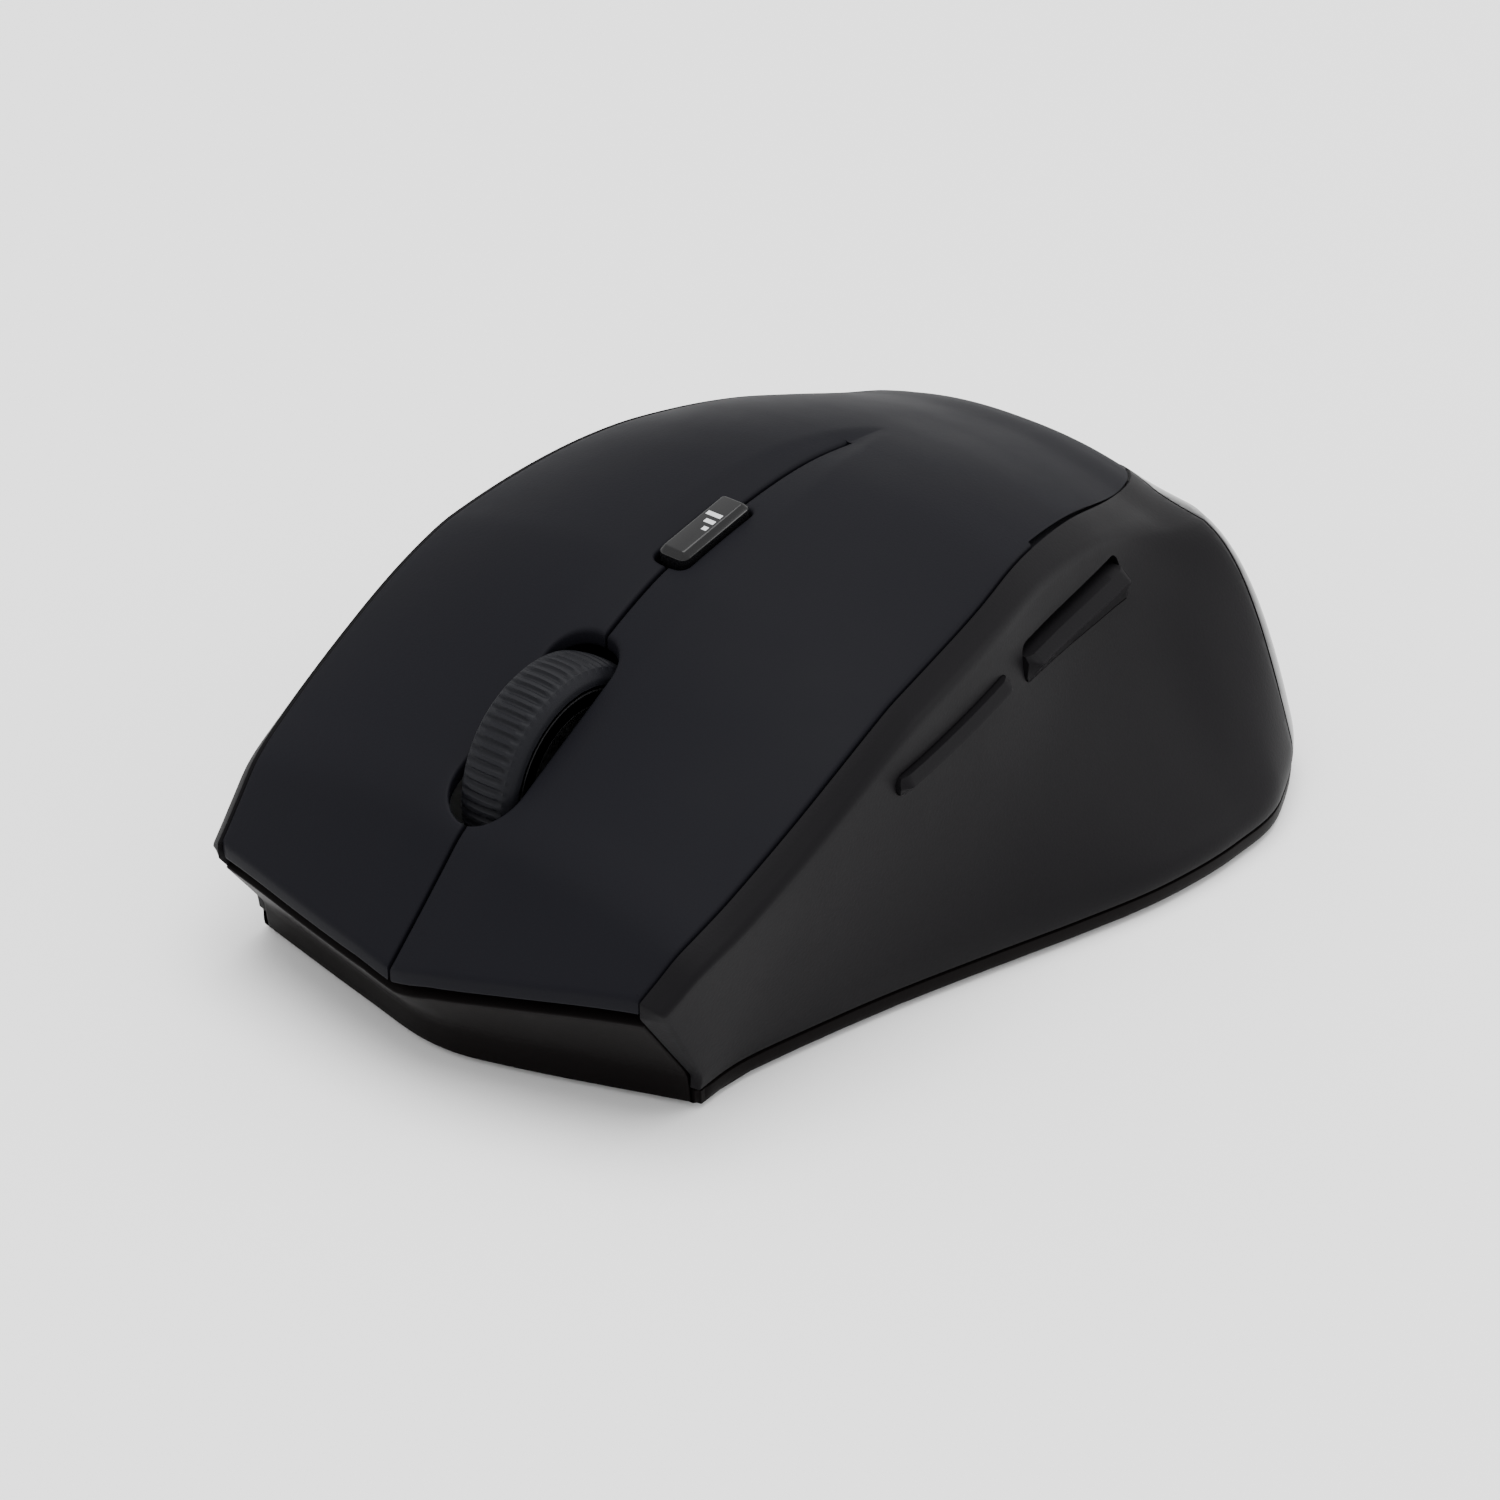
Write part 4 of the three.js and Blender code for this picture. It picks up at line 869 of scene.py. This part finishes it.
def makeThumbPanel():
    bm = sheetFrom(flankColumns(1, (0, panel["tail"], panel["cells"])))
    cutPlane(bm, trim["thumb"], False, -1)
    obj = finishSheet("thumbPanel", bm, 1, paint["sideRubber"], panel["wall"], panel["edgeRadius"])
    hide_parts("left_side_panel")
    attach(obj, "case")
    return obj


def makeOuterPanel():
    bm = sheetFrom(flankColumns(-1, (0, panel["tail"], panel["cells"])))
    cutPlane(bm, trim["outer"], False, -1)
    obj = finishSheet("outerPanel", bm, -1, paint["sideRubber"], panel["wall"], panel["edgeRadius"])
    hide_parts("right_side_panel")
    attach(obj, "case")


def makeTrim():
    start, count = panel["trimStart"], panel["trimCells"]
    columns = [sideProfile(start + (1 - start) * k / count, -1) for k in range(count + 1)]
    bm = sheetFrom(columns)
    cutPlane(bm, trim["outer"], True, 1)
    rest = [sideProfile(start + (1 - start) * k / count, 1) for k in range(count + 1)]
    other = sheetFrom(rest)
    cutPlane(other, trim["thumb"], True, 1)
    spare = bpy.data.meshes.new("spare")
    other.to_mesh(spare)
    other.free()
    bm.from_mesh(spare)
    bpy.data.meshes.remove(spare)
    obj = finishSheet("tailTrim", bm, 1, paint["pianoBlack"], panel["wall"], panel["edgeRadius"])
    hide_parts("rear_trim")
    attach(obj, "case")


thumbPanel = makeThumbPanel()
makeOuterPanel()
makeTrim()
print("side panels")

# nose and rim
nose = {"proud": 0.3, "tuck": 0.5, "wall": 1.3, "rows": 16, "columns": 80, "edge": 0.18}
rim = {
    "cells": 110,
    # from the foot's outline inwards, and height
    "section": [(1.6, 2.5), (0.5, 2.5), (0.34, 2.42), (0.3, 2.2), (0.32, 1.5), (0.36, 1.05), (0.46, 0.86),
                (0.62, 0.8), (1.6, 0.8)],
    "frontTuck": 0.7,       # drawn in this much more at the front corners,
    "tuckReach": 0.03,      # fading out over this share of the side
}


def makeNose():
    bm = bmesh.new()
    columns, rows = nose["columns"], nose["rows"]

    def place(i, j):
        s = i / columns
        edge, foot = alongOutline(body["frontEdge"], s), alongOutline(body["footFront"], s)
        ledge = topHeight(edge.x, edge.y) - body["buttonFace"]
        t = j / rows
        z0 = ledge - body["noseGap"]
        bottom = form["floor"]
        z = z0 + (bottom - z0) * t
        share = min((ledge - z) / (ledge - form["lip"]), 1)
        below = max(0, (form["lip"] - z) / (form["lip"] - bottom)) * nose["tuck"]
        plan = edge.lerp(foot, share)
        return Vector((plan.x, plan.y - nose["proud"] + below, z))

    makeGrid(bm, columns, rows, place)
    bmesh.ops.recalc_face_normals(bm, faces=bm.faces)
    face = min(bm.faces, key=lambda f: f.calc_center_median().y)
    face.normal_update()
    if face.normal.y > 0:
        bmesh.ops.reverse_faces(bm, faces=bm.faces)
    bmesh.ops.transform(bm, matrix=toRow, verts=bm.verts)
    mesh = bpy.data.meshes.new("noseFace")
    bm.to_mesh(mesh)
    bm.free()
    mesh.shade_smooth()
    obj = bpy.data.objects.new("noseFace", mesh)
    bpy.context.collection.objects.link(obj)
    mesh.materials.append(paint["satinBlack"])
    thicken(obj, nose["wall"], nose["edge"])
    bakeModifiers(obj)
    obj.data.set_sharp_from_angle(angle=math.radians(40))
    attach(obj, "case")


def makeRim():
    count = rim["cells"]
    bm = bmesh.new()
    columns = []
    for side, order in ((1, range(count + 1)), (-1, range(count - 1, -1, -1))):
        for k in order:
            s = k / count
            foot = station(s, side)[3]
            step = 0.004
            names = "footThumb" if side > 0 else "footOuter"
            along = alongOutline(body[names], min(s + step, 1)) - alongOutline(body[names], max(s - step, 0))
            out = Vector((side * along.y, -side * along.x)).normalized()
            if s > 0.999:
                out = Vector((0, 1))
            lines = []
            tuck = rim["frontTuck"] * max(0, 1 - s / rim["tuckReach"])
            for inset, z in rim["section"]:
                plan = foot - out * (inset + tuck)
                lines.append(Vector((plan.x, plan.y, z)))
            columns.append(lines)
    makeGrid(bm, len(columns) - 1, len(columns[0]) - 1, lambda i, j: columns[i][j])
    obj = finishPiece("baseRim", bm, [paint["satinBlack"]])
    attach(obj, "case")


makeNose()
makeRim()
print("nose and rim")

# scroll wheel
wheel = {
    "centre": (-0.5, -25.03, 23.22), "radius": 12.0, "halfWidth": 3.4, "bore": 9.75,
    "crown": 0.55,          # the tread's middle stands this much above its edges
    "shoulder": [(0.45, 0.8), (0.12, 1.1), (0, 1.5)],   # in from the side and in from the radius
    "treadCells": 14,
    "ribs": 66, "ribDepth": 0.32, "ribHalf": 2.35, "stepsPerRib": 6,
    "hubSteps": 96,
}


def makeTyre():
    bm = bmesh.new()
    half, radius = wheel["halfWidth"], wheel["radius"]
    outline = [(-half, wheel["bore"])]
    outline += [(-half + aside, radius - below) for aside, below in reversed(wheel["shoulder"])]
    cells = wheel["treadCells"]
    for k in range(cells + 1):
        x = -wheel["ribHalf"] - 0.25 + (2 * wheel["ribHalf"] + 0.5) * k / cells
        outline.append((x, radius - wheel["crown"] * (x / half) ** 2))
    outline += [(half - aside, radius - below) for aside, below in wheel["shoulder"]]
    outline.append((half, wheel["bore"]))
    verts = [bm.verts.new((x, 0, r)) for x, r in outline]
    edges = [bm.edges.new(pair) for pair in zip(verts, verts[1:] + verts[:1])]
    steps = wheel["ribs"] * wheel["stepsPerRib"]
    bmesh.ops.spin(
        bm, geom=verts + edges, axis=(1, 0, 0), cent=(0, 0, 0), dvec=(0, 0, 0), angle=2 * math.pi,
        steps=steps,
        use_merge=True, use_normal_flip=False, use_duplicate=False)
    for vert in bm.verts:
        r = math.hypot(vert.co.y, vert.co.z)
        reach = abs(vert.co.x)
        if r > radius - 1 and reach < wheel["ribHalf"] + 0.1:
            turn = math.atan2(vert.co.y, vert.co.z) * wheel["ribs"]
            groove = max(0, -math.cos(turn) * 1.3 + 0.1) ** 0.8
            edge = min(1, (wheel["ribHalf"] + 0.1 - reach) / 0.35)
            cut = wheel["ribDepth"] * min(groove, 1) * edge
            vert.co.y *= (r - cut) / r
            vert.co.z *= (r - cut) / r
    bmesh.ops.translate(bm, verts=bm.verts, vec=wheel["centre"])
    obj = finishPiece("wheelTyre", bm, [paint["tyreRubber"]], 50)
    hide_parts("wheel_tyre")
    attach(obj, "wheel")


def makeHub():
    bm = bmesh.new()
    half, edge = wheel["halfWidth"], wheel["bore"] - 0.05
    outline = [
        (0, 1.5), (half - 1.3, 1.5), (half - 1.3, 2.6), (half - 1.9, 3.2), (half - 1.9, edge - 2.6),
        (half - 1.2, edge - 2.2), (half - 0.15, edge - 1.9), (half, edge - 1.7), (half, edge - 0.15),
        (half - 0.15, edge), (0, edge)]
    outline = outline + [(-x, r) for x, r in reversed(outline) if x > 0]
    verts = [bm.verts.new((x, 0, r)) for x, r in outline]
    edges = [bm.edges.new(pair) for pair in zip(verts, verts[1:] + verts[:1])]
    bmesh.ops.spin(
        bm, geom=verts + edges, axis=(1, 0, 0), cent=(0, 0, 0), dvec=(0, 0, 0), angle=2 * math.pi,
        steps=wheel["hubSteps"],
        use_merge=True, use_normal_flip=False, use_duplicate=False)
    bmesh.ops.translate(bm, verts=bm.verts, vec=wheel["centre"])
    obj = finishPiece("wheelHub", bm, [paint["chipResin"]], 30)
    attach(obj, "wheel")
    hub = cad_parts["wheel_hub"].data
    hub.materials.clear()
    hub.materials.append(paint["chipResin"])


makeTyre()
makeHub()
print("wheel")

# resolution button
dpi = {
    "y": -2.255, "halfWidth": 1.92, "halfLength": 5.5, "depth": 3.2,
    "rise": 1.0,            # above the cover beside it
    "corner": 0.9, "chamfer": 0.65, "softening": 0.12,
}
icon = {"y": 0.6, "height": 1.9, "pitch": 1.15, "bar": 0.6, "depth": 0.8, "colour": (0.55, 0.56, 0.57)}


def makeIconPaint():
    # polished black with three rising white bars on the button's upper face
    material = makePlastic("iconBlack", looks["pianoBlack"])
    tree = material.node_tree
    link = tree.links.new
    shader = tree.nodes["Principled BSDF"]
    where = addNode(tree, "ShaderNodeTexCoord")
    place = toRow @ Vector((0, dpi["y"] + icon["y"], topHeight(3.5, dpi["y"])))
    local = addNode(
        tree, "ShaderNodeMapping", {"Location": tuple(-1000 * place), "Scale": (1000, 1000, 1000)})
    link(where.outputs["Object"], local.inputs["Vector"])
    parts = addNode(tree, "ShaderNodeSeparateXYZ")
    link(local.outputs["Vector"], parts.inputs["Vector"])

    def compare(source, value, reach):
        node = addNode(tree, "ShaderNodeMath", {1: value, 2: reach}, operation="COMPARE")
        link(source, node.inputs[0])
        return node.outputs[0]

    def combine(first, second, operation):
        node = addNode(tree, "ShaderNodeMath", operation=operation)
        link(first, node.inputs[0])
        link(second, node.inputs[1])
        return node.outputs[0]

    marks = None
    for k in range(3):
        height = icon["height"] * (k + 1) / 3
        along = compare(parts.outputs["Y"], (k - 1) * icon["pitch"], icon["bar"] / 2)
        across = compare(parts.outputs["X"], (icon["height"] - height) / 2, height / 2)
        mark = combine(along, across, "MULTIPLY")
        marks = mark if marks is None else combine(marks, mark, "MAXIMUM")
    above = addNode(tree, "ShaderNodeMath", {1: -icon["depth"]}, operation="GREATER_THAN")
    link(parts.outputs["Z"], above.inputs[0])
    marks = combine(marks, above.outputs[0], "MULTIPLY")
    tone = addNode(tree, "ShaderNodeMix", data_type="RGBA")
    tone.inputs[7].default_value = (*icon["colour"], 1)
    old = shader.inputs["Base Color"].links[0].from_socket
    link(old, tone.inputs[6])
    link(marks, tone.inputs[0])
    link(tone.outputs[2], shader.inputs["Base Color"])
    return material


def makeDpiButton():
    bm = bmesh.new()
    bmesh.ops.create_cube(bm, size=1)
    bmesh.ops.scale(bm, verts=bm.verts, vec=(2 * dpi["halfWidth"], 2 * dpi["halfLength"], dpi["depth"]))
    bmesh.ops.translate(bm, verts=bm.verts, vec=(0, 0, -dpi["depth"] / 2))
    upright = [e for e in bm.edges if abs(e.verts[0].co.z - e.verts[1].co.z) > 1]
    bmesh.ops.bevel(
        bm, geom=upright, offset=dpi["corner"], segments=6, profile=0.5, affect="EDGES", material=-1)
    upper = [e for e in bm.edges if e.verts[0].co.z > -0.01 and e.verts[1].co.z > -0.01]
    bmesh.ops.bevel(
        bm, geom=upper, offset=dpi["chamfer"], segments=1, profile=0.5, affect="EDGES", material=-1)
    soft = [e for e in bm.edges if e.is_manifold and 0.4 < e.calc_face_angle() < 1.3
            and max(v.co.z for v in e.verts) > -dpi["chamfer"] - 0.05]
    bmesh.ops.bevel(
        bm, geom=soft, offset=dpi["softening"], segments=3, profile=0.5, affect="EDGES", material=-1)
    slope = math.atan2(topHeight(3, dpi["y"] + 4) - topHeight(3, dpi["y"] - 4), 8)
    bmesh.ops.rotate(bm, verts=bm.verts, cent=(0, 0, 0), matrix=Matrix.Rotation(slope, 3, "X"))
    lift = topHeight(3.5, dpi["y"]) + dpi["rise"]
    bmesh.ops.translate(bm, verts=bm.verts, vec=(0, dpi["y"], lift))
    obj = finishPiece("resolutionButton", bm, [makeIconPaint()], 30)
    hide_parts("dpi_button")
    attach(obj, "dpi_button")


makeDpiButton()
print("resolution button")

# thumb buttons
# Each slot has half sizes, a tilt and a corner radius. The button fills the slot between the heights low
# and high, stands proud of the panel along its ridge, and its edges lie a little above the panel (sink).
thumbGap = 0.15
thumbButtons = {
    "forward_button": {
        "y": -1.32, "z": 28.2, "halfLength": 10.6, "halfHeight": 1.25, "tilt": 0.09, "corner": 1.1,
        "proud": 1.2, "low": -1, "high": 0.95, "ridge": 0.1, "sink": 0.25},
    "back_button": {
        "y": 24.1, "z": 28.9, "halfLength": 11.2, "halfHeight": 2.25, "tilt": -0.015, "corner": 1.0,
        "proud": 1.9, "low": -1, "high": 0.45, "ridge": 0.12, "sink": 0.1},
}


def flankAt(y, z):
    low, high = 0.15, 0.85
    for _ in range(24):
        s = (low + high) / 2
        height = station(s, 1)[4]
        point = flankPoint(s, 1, (height - z) / (height - form["lip"]))
        if point.y < y:
            low = s
        else:
            high = s
    return point


def makeThumbButton(node, size):
    bm = bmesh.new()
    along, across = 60, 20
    gap = thumbGap

    def place(i, j):
        v = size["low"] + (size["high"] - size["low"]) * j / across
        b = v * (size["halfHeight"] - gap)
        over = max(0, abs(b) - (size["halfHeight"] - size["corner"]))
        reach = size["halfLength"] - gap - size["corner"] + math.sqrt(max(0, size["corner"] ** 2 - over**2))
        a = (2 * i / along - 1) * reach
        y = size["y"] + a * math.cos(size["tilt"]) - b * math.sin(size["tilt"])
        z = size["z"] + a * math.sin(size["tilt"]) + b * math.cos(size["tilt"])
        point = flankAt(y, z)
        ridge = size["ridge"]
        share = (size["high"] - v) / (size["high"] - ridge)
        if v <= ridge:
            share = (v - size["low"]) / (ridge - size["low"])
        upper = 0.35 if v > ridge else 0.0
        height = upper + (1 - upper) * min(1, share) if share < 1 else 1
        ends = min(1, (reach - abs(a)) / 0.9)
        point.x += size["proud"] * height * (0.3 + 0.7 * ends) + size["sink"]
        return point

    makeGrid(bm, along, across, place)
    loop = [edge for edge in bm.edges if edge.is_boundary]
    last = pullLoop(bm, loop, lambda vert: [vert.co + Vector((-1.2, 0, 0)), vert.co + Vector((-3, 0, 0))])
    bmesh.ops.holes_fill(bm, edges=last, sides=0)
    name = "forwardButton" if node == "forward_button" else "backButton"
    obj = finishPiece(name, bm, [paint["sideRubber"]], 25)
    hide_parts(node)
    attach(obj, node)


def cutSlots(obj):
    for size in thumbButtons.values():
        bm = bmesh.new()
        bmesh.ops.create_cube(bm, size=1)
        half = (size["halfLength"], size["halfHeight"])
        bmesh.ops.scale(bm, verts=bm.verts, vec=(30, 2 * half[0], 2 * half[1]))
        ends = [e for e in bm.edges if abs(e.verts[0].co.x - e.verts[1].co.x) > 1]
        bmesh.ops.bevel(
            bm, geom=ends, offset=size["corner"], segments=8, profile=0.5, affect="EDGES", material=-1)
        bmesh.ops.rotate(bm, verts=bm.verts, cent=(0, 0, 0), matrix=Matrix.Rotation(size["tilt"], 3, "X"))
        bmesh.ops.translate(bm, verts=bm.verts, vec=(32, size["y"], size["z"]))
        bmesh.ops.recalc_face_normals(bm, faces=bm.faces)
        bmesh.ops.transform(bm, matrix=toRow, verts=bm.verts)
        mesh = bpy.data.meshes.new("cutter")
        bm.to_mesh(mesh)
        bm.free()
        cutter = bpy.data.objects.new("cutter", mesh)
        bpy.context.collection.objects.link(cutter)
        tool = obj.modifiers.new("slot", "BOOLEAN")
        tool.operation = "DIFFERENCE"
        tool.solver = "EXACT"
        tool.object = cutter
        bakeModifiers(obj)
        bpy.data.objects.remove(cutter)
    obj.data.set_sharp_from_angle(angle=math.radians(40))


for node, size in thumbButtons.items():
    makeThumbButton(node, size)
cutSlots(thumbPanel)
print("thumb buttons")

# floor and light
studio = {
    "floor": (0.95, 0.95, 0.95),
    "floorHalf": 3,
    "floorRoughness": 0.9,
    "world": 1.35,
    "lights": [
        # name, place, aim, size, watts
        ("overhead", (0.0, 0.1, 1.4), (0, 0, 0.02), 1.4, 26.0),
        ("right", (1.0, 0.9, 0.5), (0, 0, 0.02), 0.6, 5.0),
    ],
}


def makeStudio():
    bm = bmesh.new()
    bmesh.ops.create_grid(bm, x_segments=1, y_segments=1, size=studio["floorHalf"])
    mesh = bpy.data.meshes.new("floor")
    bm.to_mesh(mesh)
    bm.free()
    floor = bpy.data.objects.new("floor", mesh)
    bpy.context.collection.objects.link(floor)
    material, _, shader = nodesOf("floorPaint")
    shader.inputs["Base Color"].default_value = (*studio["floor"], 1)
    shader.inputs["Roughness"].default_value = studio["floorRoughness"]
    mesh.materials.append(material)
    world = bpy.data.worlds.new("world")
    world.use_nodes = True
    world.node_tree.nodes["Background"].inputs["Color"].default_value = (1, 1, 1, 1)
    world.node_tree.nodes["Background"].inputs["Strength"].default_value = studio["world"]
    bpy.context.scene.world = world
    for name, spot, aim, size, watts in studio["lights"]:
        data = bpy.data.lights.new(name, "AREA")
        data.shape = "DISK"
        data.size = size
        data.energy = watts
        lamp = bpy.data.objects.new(name, data)
        lamp.location = spot
        lamp.rotation_euler = (Vector(aim) - Vector(spot)).to_track_quat("-Z", "Y").to_euler()
        bpy.context.collection.objects.link(lamp)


makeStudio()
print("studio")
